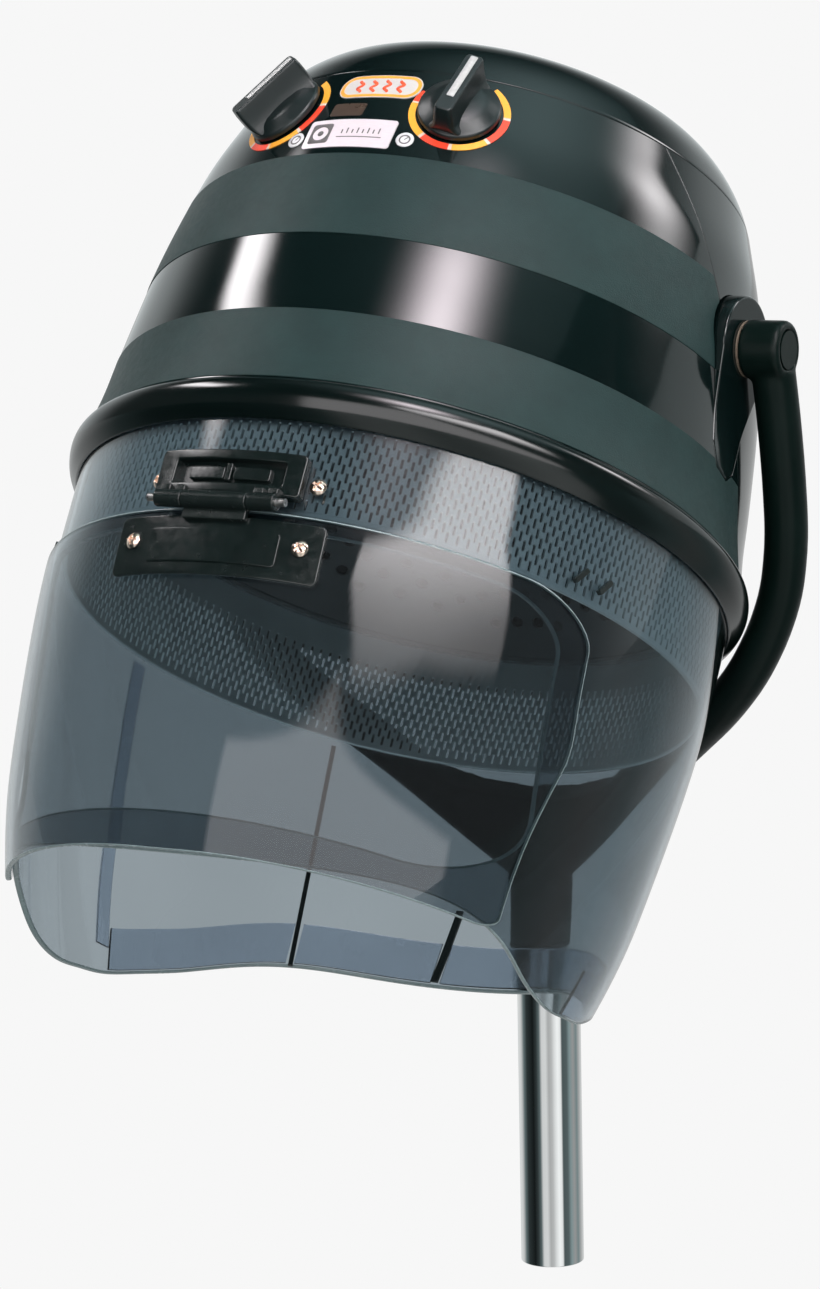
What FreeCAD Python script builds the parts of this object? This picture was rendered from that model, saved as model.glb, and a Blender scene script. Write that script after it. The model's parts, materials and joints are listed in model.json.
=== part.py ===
import FreeCAD, Part
import math
import os
import Sketcher

# Salon hood dryer head on its pole. Millimetres, +Z up, front towards -Y.
# Origin: centre of the pole's lower end. The hood tilts in a fork (yoke) that
# swivels on top of the pole. Hood pieces are drawn in the hood's own frame
# (pivot at 0,0,0, hood axis along Z, front towards -Y) and placed by HOOD.

V = FreeCAD.Vector
doc = FreeCAD.newDocument("hood_dryer")
sheet = doc.addObject("Spreadsheet::Sheet", "Params")

DIMS = [
    ("pole_rad", 17.5), ("pole_bore", 15.5), ("pole_len", 178.0),
    ("spigot_rad", 13.0), ("spigot_top", 236.0), ("spigot_low", 96.0),
    ("neck_rad", 18.3), ("neck_bore", 15.2), ("neck_low", 180.0), ("neck_top", 262.0),
    ("pivot_y", -91.0), ("pivot_z", 521.0), ("tilt_back", 31.4),
    ("arm_rad", 11.3), ("barrel_rad", 15.0), ("barrel_in", 167.2), ("barrel_out", 189.5),
    ("bolt_rad", 5.0), ("bush_rad", 8.0), ("run_gap", 0.05),
    ("ring_rad", 180.0), ("ring_top", -108.0), ("ring_low", -129.3),
    ("shell_wall", 2.5), ("cap_seam", 84.0),
    ("band_hi_top", 26.5), ("band_hi_low", -22.8), ("band_lo_top", -67.2), ("band_lo_low", -107.0),
    ("seam_y", -13.7), ("seam_slope", 0.54),
    ("skirt_rad", 172.0), ("skirt_wall", 3.0), ("skirt_top", -112.0),
    ("visor_gap", 0.9), ("visor_wall", 2.9), ("hinge_y", -180.9), ("hinge_z", -177.0),
    ("hinge_pin_rad", 2.0), ("knuckle_rad", 4.5),
    ("diff_rad", 167.5), ("diff_wall", 2.0), ("diff_low", -176.0), ("slot_w", 3.2), ("slot_h", 9.0),
    ("dome_base", 160.0), ("dome_rise", 86.0), ("dome_z", -114.0), ("dome_wall", 2.0),
    ("knob_theta", 19.8), ("knob_z", 59.0), ("knob_slope", 0.33), ("knob_rad", 21.0),
    ("knob_bar_len", 42.0), ("knob_bar_w", 10.0), ("knob_top", 21.5),
    ("left_point", 31.0), ("right_point", 10.0),
    ("shaft_rad", 3.0), ("scale_in", 22.0), ("scale_out", 25.7),
    ("motor_rad", 42.0), ("fan_rad", 70.0), ("fan_low", 22.0), ("fan_top", 50.0),
    ("plate_z", 60.0), ("plate_t", 2.5), ("baffle_z", 15.0),
    ("screw_head", 4.3), ("screw_rad", 2.0),
]
for row, (name, value) in enumerate(DIMS, start=1):
    sheet.set("A%d" % row, name)
    sheet.set("B%d" % row, str(value))
    sheet.setAlias("B%d" % row, name)
doc.recompute()


def g(name):
    return float(sheet.get(name))


class Dim:
    """A size with its value and the sheet expression that drives it."""
    def __init__(self, v, t):
        self.v, self.t = v, t

    def _mix(self, o, op):
        o = o if isinstance(o, Dim) else Dim(float(o), repr(float(o)))
        v = {"+": self.v + o.v, "-": self.v - o.v, "*": self.v * o.v}[op]
        return Dim(v, "(%s %s %s)" % (self.t, op, o.t))

    def __add__(self, o): return self._mix(o, "+")
    def __sub__(self, o): return self._mix(o, "-")
    def __mul__(self, o): return self._mix(o, "*")


def d(name):
    return Dim(g(name), "Params." + name)


def as_dim(x):
    return x if isinstance(x, Dim) else Dim(float(x), repr(float(x)))


NODES = []


def keep(obj, label, placement=None):
    obj.Label = label
    if placement is not None:
        obj.Placement = placement
    NODES.append(obj)
    return obj


def bind(obj, prop, size):
    size = as_dim(size)
    setattr(obj, prop, size.v)
    obj.setExpression(prop, size.t)


# ---------------------------------------------------------------- placements
def shift(x, y, z):
    return FreeCAD.Placement(V(x, y, z), FreeCAD.Rotation())


PIVOT = shift(0, g("pivot_y"), g("pivot_z"))
HOOD = FreeCAD.Placement(V(0, g("pivot_y"), g("pivot_z")),
                         FreeCAD.Rotation(V(1, 0, 0), -g("tilt_back")))


def frame_rot(ex, ey, ez):
    m = FreeCAD.Matrix(ex.x, ey.x, ez.x, 0, ex.y, ey.y, ez.y, 0, ex.z, ey.z, ez.z, 0, 0, 0, 0, 1)
    return FreeCAD.Placement(m).Rotation


def dial_place(theta, turn=0.0):
    """Frame of a knob on the dome: Z outward, Y up the dome, turned clockwise by turn."""
    a = math.radians(theta)
    er, et = V(math.sin(a), -math.cos(a), 0), V(math.cos(a), math.sin(a), 0)
    nn = (er + V(0, 0, g("knob_slope"))).normalize()
    ev = nn.cross(et)
    rot = frame_rot(et, ev, nn)
    p = FreeCAD.Placement(er * outer_at(g("knob_z")) + V(0, 0, g("knob_z")), rot)
    return p.multiply(FreeCAD.Placement(V(0, 0, 0), FreeCAD.Rotation(V(0, 0, 1), -turn)))


def radial_place(theta, r, z):
    """Frame with Z pointing outward from the hood axis at angle theta."""
    a = math.radians(theta)
    er, et = V(math.sin(a), -math.cos(a), 0), V(math.cos(a), math.sin(a), 0)
    return FreeCAD.Placement(er * r + V(0, 0, z), frame_rot(et, V(0, 0, 1), er))


# ------------------------------------------------------- shape of the surfaces
DOME = [(-108, 174.6), (-90, 171.4), (-67, 169.2), (-45, 166.9), (-23, 164.3), (0, 160.8),
        (26, 155.7), (50, 149.9), (70, 142.9), (84, 137.8)]
CAP = [(84, 137.8), (94.8, 132.3), (104.4, 125.5), (114, 115.5), (121.8, 100), (127.8, 76), (131.5, 42), (132.7, 0)]
SKIRT = [(-112, 172.0), (-129, 172.0), (-160, 171.8), (-185, 171.4), (-210, 169.8), (-240, 166.8),
         (-270, 163.2), (-300, 158.8), (-328, 152.4), (-350, 146.0), (-372, 138.6)]


def lerp(table, z):
    t = sorted(table)
    if z <= t[0][0]:
        return t[0][1]
    for (z0, r0), (z1, r1) in zip(t, t[1:]):
        if z <= z1:
            return r0 + (r1 - r0) * (z - z0) / (z1 - z0)
    return t[-1][1]


def curve(table):
    c = Part.BSplineCurve()
    c.interpolate([V(r, 0, z) for z, r in table])
    return c


DOME_C, CAP_C, SKIRT_C = curve(DOME), curve(CAP), curve(SKIRT)


def outer_at(z):
    return lerp(DOME, z)


def spun(curve_obj, u0, u1, near, far, n=14):
    """Solid of revolution between two offsets of a meridian curve."""
    def row(off):
        pts = []
        for i in range(n + 1):
            u = u0 + (u1 - u0) * i / n
            p = curve_obj.value(u)
            t = curve_obj.tangent(u)[0]
            nrm = V(t.z, 0, -t.x)
            if nrm.x < 0 or (abs(nrm.x) < 1e-6 and nrm.z < 0):
                nrm = nrm * -1
            q = p + nrm * off
            pts.append(V(max(q.x, 0.0), 0, q.z))
        return pts
    a, b = row(near), row(far)
    ea, eb = Part.BSplineCurve(), Part.BSplineCurve()
    if a[-1].x < 0.5:
        a[-1].x = 0.0
        b[-1].x = 0.0
    ea.interpolate(a)
    eb.interpolate(b)
    wire = Part.Wire([ea.toShape(), Part.makeLine(a[-1], b[-1]),
                      eb.toShape(), Part.makeLine(b[0], a[0])])
    wire.fix(1e-6, 1e-6, 1e-6) if not wire.isClosed() else None
    return Part.Face(wire).revolve(V(0, 0, 0), V(0, 0, 1), 360)


def u_at(curve_obj, z):
    lo, hi = curve_obj.FirstParameter, curve_obj.LastParameter
    up = curve_obj.value(hi).z > curve_obj.value(lo).z
    for _ in range(60):
        mid = 0.5 * (lo + hi)
        if (curve_obj.value(mid).z < z) == up:
            lo = mid
        else:
            hi = mid
    return 0.5 * (lo + hi)


def prism(points, direction):
    """Solid swept straight from a closed outline of points along a vector."""
    w = Part.makePolygon(points + [points[0]])
    return Part.Face(w).extrude(direction)


def rod(r, h, p, axis):
    return Part.makeCylinder(r, h, p, axis)


def feature(label, shape, placement=HOOD):
    if isinstance(shape, list):
        shape = Part.makeCompound(shape)
    elif shape.ShapeType == "Compound" and len(shape.Solids) == 1:
        shape = shape.Solids[0]
    f = doc.addObject("Part::Feature", label)
    f.Shape = shape
    return keep(f, label, placement)


# -------------------------------------------------- parametric body helpers
def origin_plane(body, role):
    for f in body.Origin.OriginFeatures:
        if f.Role == role:
            return f


def outline(sketch, pts):
    """Closed polygon whose corner coordinates are bound to sheet cells."""
    pts = [(as_dim(x), as_dim(y)) for x, y in pts]
    n = len(pts)
    for i in range(n):
        a, b = pts[i], pts[(i + 1) % n]
        sketch.addGeometry(Part.LineSegment(V(a[0].v, a[1].v, 0), V(b[0].v, b[1].v, 0)), False)
    for i in range(n):
        sketch.addConstraint(Sketcher.Constraint("Coincident", i, 2, (i + 1) % n, 1))
    for i, (x, y) in enumerate(pts):
        for kind, size in (("DistanceX", x), ("DistanceY", y)):
            if abs(size.v) < 1e-9:
                sketch.addConstraint(Sketcher.Constraint("PointOnObject", i, 1, -2 if kind == "DistanceX" else -1))
                continue
            k = sketch.addConstraint(Sketcher.Constraint(kind, -1, 1, i, 1, size.v))
            cname = ("px" if kind == "DistanceX" else "py") + str(i)
            sketch.renameConstraint(k, cname)
            sketch.setExpression("Constraints." + cname, size.t)


def lathe(label, pts, placement=HOOD):
    """PartDesign body turned about its own Z axis from a (radius, height) outline."""
    body = doc.addObject("PartDesign::Body", label + "_body")
    sk = body.newObject("Sketcher::SketchObject", label + "_sketch")
    sk.AttachmentSupport = [(origin_plane(body, "XZ_Plane"), "")]
    sk.MapMode = "FlatFace"
    outline(sk, pts)
    rev = body.newObject("PartDesign::Revolution", label + "_turn")
    rev.Profile = sk
    rev.ReferenceAxis = (sk, ["V_Axis"])
    rev.Angle = 360.0
    body.Tip = rev
    return keep(body, label, placement)


def plate(label, pts, thick, placement=HOOD, role="XY_Plane"):
    """PartDesign body padded from an outline drawn on one of its origin planes."""
    body = doc.addObject("PartDesign::Body", label + "_body")
    sk = body.newObject("Sketcher::SketchObject", label + "_sketch")
    sk.AttachmentSupport = [(origin_plane(body, role), "")]
    sk.MapMode = "FlatFace"
    outline(sk, pts)
    pad = body.newObject("PartDesign::Pad", label + "_pad")
    pad.Profile = sk
    bind(pad, "Length", thick)
    body.Tip = pad
    return keep(body, label, placement) if label else body


def p_cyl(name, r, h, placement=None):
    c = doc.addObject("Part::Cylinder", name)
    bind(c, "Radius", r)
    bind(c, "Height", h)
    if placement is not None:
        c.Placement = placement
    return c


def p_box(name, l, w, h, placement=None):
    b = doc.addObject("Part::Box", name)
    bind(b, "Length", l)
    bind(b, "Width", w)
    bind(b, "Height", h)
    if placement is not None:
        b.Placement = placement
    return b


def p_cut(name, base, tool):
    c = doc.addObject("Part::Cut", name)
    c.Base, c.Tool = base, tool
    return c


def p_fuse(name, shapes):
    f = doc.addObject("Part::MultiFuse", name)
    f.Shapes = shapes
    return f


def along_x(x, y=0, z=0):
    return FreeCAD.Placement(V(x, y, z), FreeCAD.Rotation(V(0, 1, 0), 90))


# =================================================================== the pole
keep(p_cut("pole_tube", p_cyl("pole_outer", d("pole_rad"), d("pole_len")),
           p_cyl("pole_inner", d("pole_bore"), d("pole_len"))), "pole_tube")
lathe("pole_spigot", [(8, d("spigot_low")), (d("pole_bore"), d("spigot_low")), (d("pole_bore"), d("pole_len")),
                      (d("spigot_rad"), d("pole_len")), (d("spigot_rad"), d("spigot_top") - 5),
                      (d("spigot_rad") - 1.2, d("spigot_top") - 5), (d("spigot_rad") - 1.2, d("spigot_top") - 3.6),
                      (d("spigot_rad"), d("spigot_top") - 3.6), (d("spigot_rad"), d("spigot_top") - 1),
                      (d("spigot_rad") - 1, d("spigot_top")), (8, d("spigot_top"))], shift(0, 0, 0))
lathe("thrust_washer", [(d("spigot_rad") + 0.2, d("pole_len")), (d("neck_rad"), d("pole_len")),
                        (d("neck_rad"), d("neck_low") - 0.1), (d("spigot_rad") + 0.2, d("neck_low") - 0.1)], shift(0, 0, 0))
lathe("spigot_circlip", [(d("spigot_rad") - 1.2, d("spigot_top") - 4.9), (d("spigot_rad") + 1.5, d("spigot_top") - 4.9),
                         (d("spigot_rad") + 1.5, d("spigot_top") - 3.7), (d("spigot_rad") - 1.2, d("spigot_top") - 3.7)], shift(0, 0, 0))

# =================================================================== the yoke
lathe("neck_bush", [(d("spigot_rad") + d("run_gap"), d("neck_low") + 0.2), (d("neck_bore"), d("neck_low") + 0.2),
                    (d("neck_bore"), d("spigot_top") - 6), (d("spigot_rad") + d("run_gap"), d("spigot_top") - 6)], shift(0, 0, 0))


def soft_path(points, ratio=0.45):
    """Straight runs joined by tangent arcs through a row of corner points."""
    edges, here = [], points[0]
    for i in range(1, len(points) - 1):
        a, b, c = points[i - 1], points[i], points[i + 1]
        u, w = (a - b), (c - b)
        lu, lw = u.Length, w.Length
        u.normalize()
        w.normalize()
        trim = ratio * min(lu, lw)
        p, q = b + u * trim, b + w * trim
        half = math.radians(180) - u.getAngle(w)
        r = trim / math.tan(half / 2)
        centre = b + (u + w).normalize() * math.sqrt(r * r + trim * trim)
        mid = centre + (b - centre).normalize() * r
        edges.append(Part.makeLine(here, p))
        edges.append(Part.Arc(p, mid, q).toShape())
        here = q
    edges.append(Part.makeLine(here, points[-1]))
    return Part.Wire(edges)


ARM = [(179.2, 0, 0), (180.2, 6, -30), (180.2, 12.5, -62), (178.6, 20, -98), (172.6, 26.5, -127),
       (162.5, 32, -150), (148.0, 38, -173), (129.0, 44.5, -194), (106.0, 53.0, -213), (72.0, 66.5, -241),
       (35.0, 82, -275), (0, 93, -303)]


def arm_solid(side):
    pts = [V(side * x, y, z) for x, y, z in ARM]
    spine = soft_path(pts)
    ring = Part.Wire(Part.Circle(pts[0], pts[1] - pts[0], g("arm_rad")).toShape())
    return spine.makePipeShell([ring], True, False)


nz0, nz1 = g("neck_low") - g("pivot_z"), g("neck_top") - g("pivot_z")
neck = rod(g("neck_rad"), nz1 - nz0, V(0, 91, nz0), V(0, 0, 1))
neck = neck.makeFillet(5.0, [e for e in neck.Edges if e.BoundBox.ZMin > nz1 - 1e-3 and e.Length > 100])
web_n = V(0, 62, 25).normalize()
web_pts = [V(x, 66.5 + (-241 - z) * 0.403, z) - web_n * 8 for x, z in
           [(-84, -232), (-60, -242), (-30, -250), (0, -253), (30, -250), (60, -242), (84, -232),
            (72, -247), (36, -281), (0, -309), (-36, -281), (-72, -247)]]
web = prism(web_pts, web_n * 16)
yoke = neck
for side in (1, -1):
    barrel = rod(g("barrel_rad"), g("barrel_out") - g("barrel_in"), V(side * g("barrel_in"), 0, 0), V(side, 0, 0))
    barrel = barrel.makeFillet(3.0, [e for e in barrel.Edges if abs(abs(e.BoundBox.XMin) - g("barrel_out")) < 1e-3
                                     and e.BoundBox.XLength < 1e-3])
    yoke = yoke.fuse(arm_solid(side)).fuse(barrel)
yoke = yoke.fuse(web)
bore = rod(g("neck_bore"), g("spigot_top") + 2 - g("neck_low"), V(0, 91, nz0), V(0, 0, 1))
yoke = yoke.cut(bore)
for side in (1, -1):
    yoke = yoke.cut(rod(g("bolt_rad"), 60, V(side * 150, 0, 0), V(side, 0, 0)))
    yoke = yoke.cut(rod(10.0, 20, V(side * 180.5, 0, 0), V(side, 0, 0)))
yoke = yoke.cut(rod(2.5, 12, V(0, 91 + 12, nz0 + 22), V(0, 1, 0)))
feature("yoke", yoke, PIVOT)
feature("swivel_screw", rod(2.5, 4.2, V(0, 91 + 15.3, nz0 + 22), V(0, 1, 0)), PIVOT)

feature("hub_caps", [rod(9.9, 2.4, V(s * 187.0, 0, 0), V(s, 0, 0)) for s in (1, -1)], PIVOT)
feature("pivot_bolts", [rod(g("bolt_rad"), 43.5, V(s * 137, 0, 0), V(s, 0, 0)).fuse(rod(8.0, 5.5, V(s * 180.5, 0, 0), V(s, 0, 0)))
                        for s in (1, -1)], PIVOT)
feature("friction_washers", [rod(14.5, 1.0, V(s * 166.2, 0, 0), V(s, 0, 0)).cut(rod(g("bolt_rad"), 1.0, V(s * 166.2, 0, 0), V(s, 0, 0)))
                             for s in (1, -1)], PIVOT)


def hexagon(af, h, x0, side, hole):
    r = af / math.sqrt(3)
    pts = [V(x0 * side, r * math.cos(math.radians(60 * i)), r * math.sin(math.radians(60 * i))) for i in range(6)]
    return prism(pts, V(side * h, 0, 0)).cut(rod(hole, h, V(x0 * side, 0, 0), V(side, 0, 0)))


feature("pivot_nuts", [hexagon(17.0, 8.0, 139.5, s, g("bolt_rad")) for s in (1, -1)], PIVOT)
feature("disc_springs", [Part.makeCone(8.5, 11.0, 3.0, V(s * 147.6, 0, 0), V(s, 0, 0)).cut(
    rod(g("bolt_rad"), 3.0, V(s * 147.6, 0, 0), V(s, 0, 0))) for s in (1, -1)], PIVOT)

# ============================================================ shell of the hood
wall = g("shell_wall")
u_low, u_high = DOME_C.FirstParameter, DOME_C.LastParameter
shell = spun(DOME_C, u_low, u_high, -wall, 0.0).common(
    Part.makeBox(400, 400, g("cap_seam") - g("ring_top"), V(-200, -200, g("ring_top"))))
inner_space = spun(DOME_C, u_low, u_high, -120.0, -wall)


def half(front, gap=0.0):
    """Everything in front of (or behind) the slanted seam plane."""
    def y_at(z):
        return g("seam_y") - g("seam_slope") * z + (-gap if front else gap)
    z0, z1 = -160.0, 100.0
    far = -260.0 if front else 260.0
    return prism([V(-260, y_at(z0), z0), V(-260, y_at(z1), z1), V(-260, far, z1), V(-260, far, z0)], V(520, 0, 0))


def boss_prism(side, x0, x1):
    pts = []
    for a in range(-20, 201, 20):
        pts.append((27.0 * math.cos(math.radians(a)), 27.0 * math.sin(math.radians(a)) * 1.0))
    pts += [(-16.0, -60.0), (-9.0, -70.0), (3.0, -72.0), (11.0, -66.0)]
    return prism([V(side * x0, y, z) for y, z in pts], V(side * (x1 - x0), 0, 0))


bosses = {}
for side, word in ((1, "right"), (-1, "left")):
    tool = boss_prism(side, 120, 166).fuse(boss_prism(side, 120, 190).common(spun(DOME_C, u_low, u_high, -60.0, 0.35)))
    body = tool.cut(spun(DOME_C, u_low, u_high, -60.0, -wall)).cut(Part.makeCylinder(112, 60, V(0, 0, -30)))
    keep_solid = max(body.Solids, key=lambda q: abs(q.CenterOfMass.x)) if len(body.Solids) > 1 else body
    collar = rod(14.0, 9.0, V(side * 152.5, 0, 0), V(side, 0, 0))
    bosses[word] = keep_solid.fuse(collar).cut(rod(g("bush_rad"), 30, V(side * 145, 0, 0), V(side, 0, 0)))

knob_holes = []
for sgn in (1, -1):
    q = dial_place(sgn * g("knob_theta"))
    c = rod(4.8, 30, V(0, 0, -15), V(0, 0, 1))
    c.Placement = q
    knob_holes.append(c)

bands = {}
for word, hi, lo in (("upper", "band_hi_top", "band_hi_low"), ("lower", "band_lo_top", "band_lo_low")):
    ring = spun(DOME_C, u_at(DOME_C, g(lo)), u_at(DOME_C, g(hi)), -0.7, 0.35)
    bands[word] = ring.common(half(True, 1.2)).cut(boss_prism(1, 120, 190)).cut(boss_prism(-1, 120, 190))

front = shell.common(half(True, 0.0))
rear = shell.common(half(False, 0.0))
for side in (1, -1):
    front = front.cut(boss_prism(side, 120, 190))
    rear = rear.cut(boss_prism(side, 120, 190))
for word in ("upper", "lower"):
    front = front.cut(bands[word])
for h in knob_holes:
    front = front.cut(h)
vents = []
for i in range(-4, 5):
    b = Part.makeBox(4.5, 40, 34, V(-2.25, 120, 38))
    b.rotate(V(0, 0, 0), V(0, 0, 1), i * 4.2)
    vents.append(b)
rear = rear.cut(Part.makeCompound(vents))
feature("front_shell", front)
feature("rear_shell", rear)
feature("upper_band", bands["upper"])
feature("lower_band", bands["lower"])
feature("pivot_boss_right", bosses["right"])
feature("pivot_boss_left", bosses["left"])
cap = spun(CAP_C, CAP_C.FirstParameter, CAP_C.LastParameter, -wall, 0.0)
cap = cap.common(Part.makeBox(400, 400, 80, V(-200, -200, g("cap_seam"))))
feature("top_cap", cap)
feature("pivot_bushes", [rod(g("bush_rad"), 15.4, V(s * 150.6, 0, 0), V(s, 0, 0)).cut(
    rod(g("bolt_rad") + g("run_gap"), 15.4, V(s * 150.6, 0, 0), V(s, 0, 0))) for s in (1, -1)])

# ============================================================== ring and skirt
lathe("bead_ring", [(166.0, d("ring_top")), (174.9, d("ring_top")), (177.6, d("ring_top") - 1.6), (179.4, d("ring_top") - 4.2),
                    (d("ring_rad"), d("ring_top") - 7.5), (d("ring_rad") - 0.5, d("ring_top") - 11.5), (178.0, d("ring_top") - 15.5),
                    (175.4, d("ring_top") - 19.0), (173.4, d("ring_low")), (d("skirt_rad") + 0.1, d("ring_low")),
                    (d("skirt_rad") + 0.1, d("ring_top") - 2), (166.0, d("ring_top") - 2)])
lathe("skirt_gasket", [(168.6, d("skirt_top")), (d("skirt_rad"), d("skirt_top")), (d("skirt_rad"), d("ring_top") - 2),
                       (168.6, d("ring_top") - 2)])

EDGE = [(-170, -352), (-80, -337), (-46, -346), (-30, -353), (-12, -357.5), (8, -358), (23, -355.5), (41, -352), (59, -345.5),
        (71, -340.5), (88, -333), (103, -325), (126, -313), (143, -307.5), (156, -306), (200, -306)]


def side_trim():
    c = Part.BSplineCurve()
    c.interpolate([V(-260, y, z) for y, z in EDGE])
    last, first = V(-260, 200, -306), V(-260, -170, -352)
    w = Part.Wire([c.toShape(), Part.makeLine(last, V(-260, 200, -420)),
                   Part.makeLine(V(-260, 200, -420), V(-260, -170, -420)), Part.makeLine(V(-260, -170, -420), first)])
    return Part.Face(w).extrude(V(520, 0, 0))


def rounded_front(points, radii, y0=-230.0, depth=205.0):
    """Prism along +Y of an outline in X,Z with rounded corners."""
    edges, n = [], len(points)
    starts, ends, arcs = [], [], []
    for i in range(n):
        a, b, c = (V(points[j % n][0], y0, points[j % n][1]) for j in (i - 1, i, i + 1))
        u, w = (a - b).normalize(), (c - b).normalize()
        r = radii[i]
        if r <= 0:
            starts.append(b)
            ends.append(b)
            arcs.append(None)
            continue
        ang = u.getAngle(w)
        trim = r / math.tan(ang / 2)
        p, q = b + u * trim, b + w * trim
        centre = b + (u + w).normalize() * (r / math.sin(ang / 2))
        mid = centre + (b - centre).normalize() * r
        starts.append(p)
        ends.append(q)
        arcs.append(Part.Arc(p, mid, q).toShape())
    for i in range(n):
        if arcs[i] is not None:
            edges.append(arcs[i])
        j = (i + 1) % n
        if (starts[j] - ends[i]).Length > 1e-6:
            edges.append(Part.makeLine(ends[i], starts[j]))
    return Part.Face(Part.Wire(edges)).extrude(V(0, depth, 0))


skirt_full = spun(SKIRT_C, SKIRT_C.FirstParameter, SKIRT_C.LastParameter, -g("skirt_wall"), 0.0, n=18)
window = rounded_front([(-147, -186), (147, -186), (144, -326), (-144, -326)], [22, 22, 42, 42])
skirt = skirt_full.cut(side_trim()).cut(window)
visor_low, visor_high = u_at(SKIRT_C, -176.0), SKIRT_C.LastParameter
visor = spun(SKIRT_C, u_at(SKIRT_C, -170.0), u_at(SKIRT_C, -350.0), g("visor_gap"), g("visor_gap") + g("visor_wall"), n=14)
visor = visor.common(rounded_front([(-158, -178.5), (158, -178.5), (156, -250), (138.5, -341), (0, -344.5), (-138.5, -341), (-156, -250)],
                                   [22, 22, 120, 9, 0, 9, 120], depth=178.0))
hinge_axis = V(0, g("hinge_y"), g("hinge_z"))
UP = [(sx, -161.6) for sx in (-44.5, 44.5)]
LOW = [(sx, -196.1) for sx in (-45.0, 45.0)]


def radial_rod(x, z, r, r0, r1):
    th = math.degrees(math.asin(x / lerp(SKIRT, z)))
    c = rod(r, r1 - r0, V(0, 0, r0), V(0, 0, 1))
    c.Placement = radial_place(th, 0, z)
    return c


for x, z in UP:
    skirt = skirt.cut(radial_rod(x, z, g("screw_rad"), 150, 190))
for x, z in LOW:
    visor = visor.cut(radial_rod(x, z, g("screw_rad"), 150, 190))
feature("skirt", skirt)
feature("visor", visor)

# ---------------------------------------------------------------- visor hinge
kr, pr = g("knuckle_rad"), g("hinge_pin_rad")
blk = spun(SKIRT_C, u_at(SKIRT_C, -149.0), u_at(SKIRT_C, -171.5), 0.05, 7.6, n=6)
blk = blk.common(Part.makeBox(78, 60, 30, V(-39, -200, -176)))
pocket = Part.makeBox(58, 6, 12.5, V(-29, -184.5, -167.0))
blk = blk.cut(pocket)
for x0 in (-38.5, 18.5):
    blk = blk.fuse(rod(kr, 20, V(x0, g("hinge_y"), g("hinge_z")), V(1, 0, 0)))
    blk = blk.fuse(Part.makeBox(20, 5.4, 7.5, V(x0, g("hinge_y") - 1.4, g("hinge_z"))))
blk = blk.cut(rod(pr + g("run_gap"), 90, V(-45, g("hinge_y"), g("hinge_z")), V(1, 0, 0)))
feature("hinge_block", blk)
r_plate = g("visor_gap") + g("visor_wall")
lo = spun(SKIRT_C, u_at(SKIRT_C, -183.0), u_at(SKIRT_C, -213.0), r_plate + 0.04, r_plate + 2.44, n=6)
lo = lo.common(Part.makeBox(114, 60, 40, V(-57, -200, -216)))
lo = lo.fuse(rod(kr, 36, V(-18, g("hinge_y"), g("hinge_z")), V(1, 0, 0)))
lo = lo.fuse(Part.makeBox(36, 3.4, 8.5, V(-18, g("hinge_y") + 0.6, g("hinge_z") - 9.5)))
lo = lo.cut(rod(pr, 90, V(-45, g("hinge_y"), g("hinge_z")), V(1, 0, 0)))
for x, z in LOW:
    lo = lo.cut(radial_rod(x, z, g("screw_rad"), 150, 190))
feature("hinge_leaf", lo)
keep(p_cyl("hinge_pin", d("hinge_pin_rad"), 77.0), "hinge_pin",
     HOOD.multiply(along_x(-38.5, g("hinge_y"), g("hinge_z"))))


def dome_screw(x, z, r_face, depth):
    th = math.degrees(math.asin(x / lerp(SKIRT, z)))
    hd = Part.makeSphere(5.2, V(0, 0, r_face - 2.9), V(0, 0, 1)).common(rod(g("screw_head"), 6, V(0, 0, r_face), V(0, 0, 1)))
    s = hd.fuse(rod(g("screw_rad"), depth + 0.2, V(0, 0, r_face - depth), V(0, 0, 1)))
    s.Placement = radial_place(th, 0, z)
    return s


def round_nut(x, z, r_in, r_out, rad):
    n = radial_rod(x, z, rad, r_in, r_out).cut(radial_rod(x, z, g("screw_rad"), 100, 200))
    return n


feature("hinge_screws_upper", [dome_screw(x, z, 171.9, 11.0) for x, z in UP])
feature("hinge_screws_lower", [dome_screw(x, z, 177.35, 9.0) for x, z in LOW])
feature("hinge_nuts_upper", [round_nut(x, z, 160.9, 163.9, 4.0) for x, z in UP])
feature("hinge_nuts_lower", [round_nut(x, z, 168.35, 171.2, 3.8) for x, z in LOW])

# small catches that clip the skirt to the diffuser, a pair on each flank
clips = []
for sgn in (1, -1):
    for th in (60.5, 65.5):
        b = Part.makeBox(2.4, 9.5, 3.0, V(-1.2, -4.75, 0))
        b.rotate(V(0, 0, 0), V(0, 0, 1), -35 * sgn)
        b.Placement = radial_place(sgn * th, 172.0, -166).multiply(b.Placement)
        clips.append(b)
feature("skirt_clips", clips)


# ribs, joint strip and doubled hem behind the rear half of the skirt
def upright(th0, th1, width, z0, z1, near, far, clear=0.0):
    """Narrow strip following the skirt, leaning from th0 at its top z0 to th1 at its bottom z1.
    With a clearance it is the longer, wider gap that the strip stands in."""
    zc, mid = (z0 + z1) / 2.0, (th0 + th1) / 2.0
    lean = math.degrees(math.atan2(math.radians(th0 - th1) * 165.0, z0 - z1))
    tall = (z0 - z1) * 1.2 + (50.0 if clear else 0.0)
    box = Part.makeBox(width + 2 * clear, tall, 60, V(-width / 2.0 - clear, -tall / 2.0, 130))
    box.rotate(V(0, 0, 0), V(0, 0, 1), -lean)
    box.Placement = radial_place(mid, 0, zc).multiply(box.Placement)
    low_end = SKIRT_C.LastParameter if clear else u_at(SKIRT_C, z1)
    return spun(SKIRT_C, u_at(SKIRT_C, z0), low_end, near, far, n=10).common(box)


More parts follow.
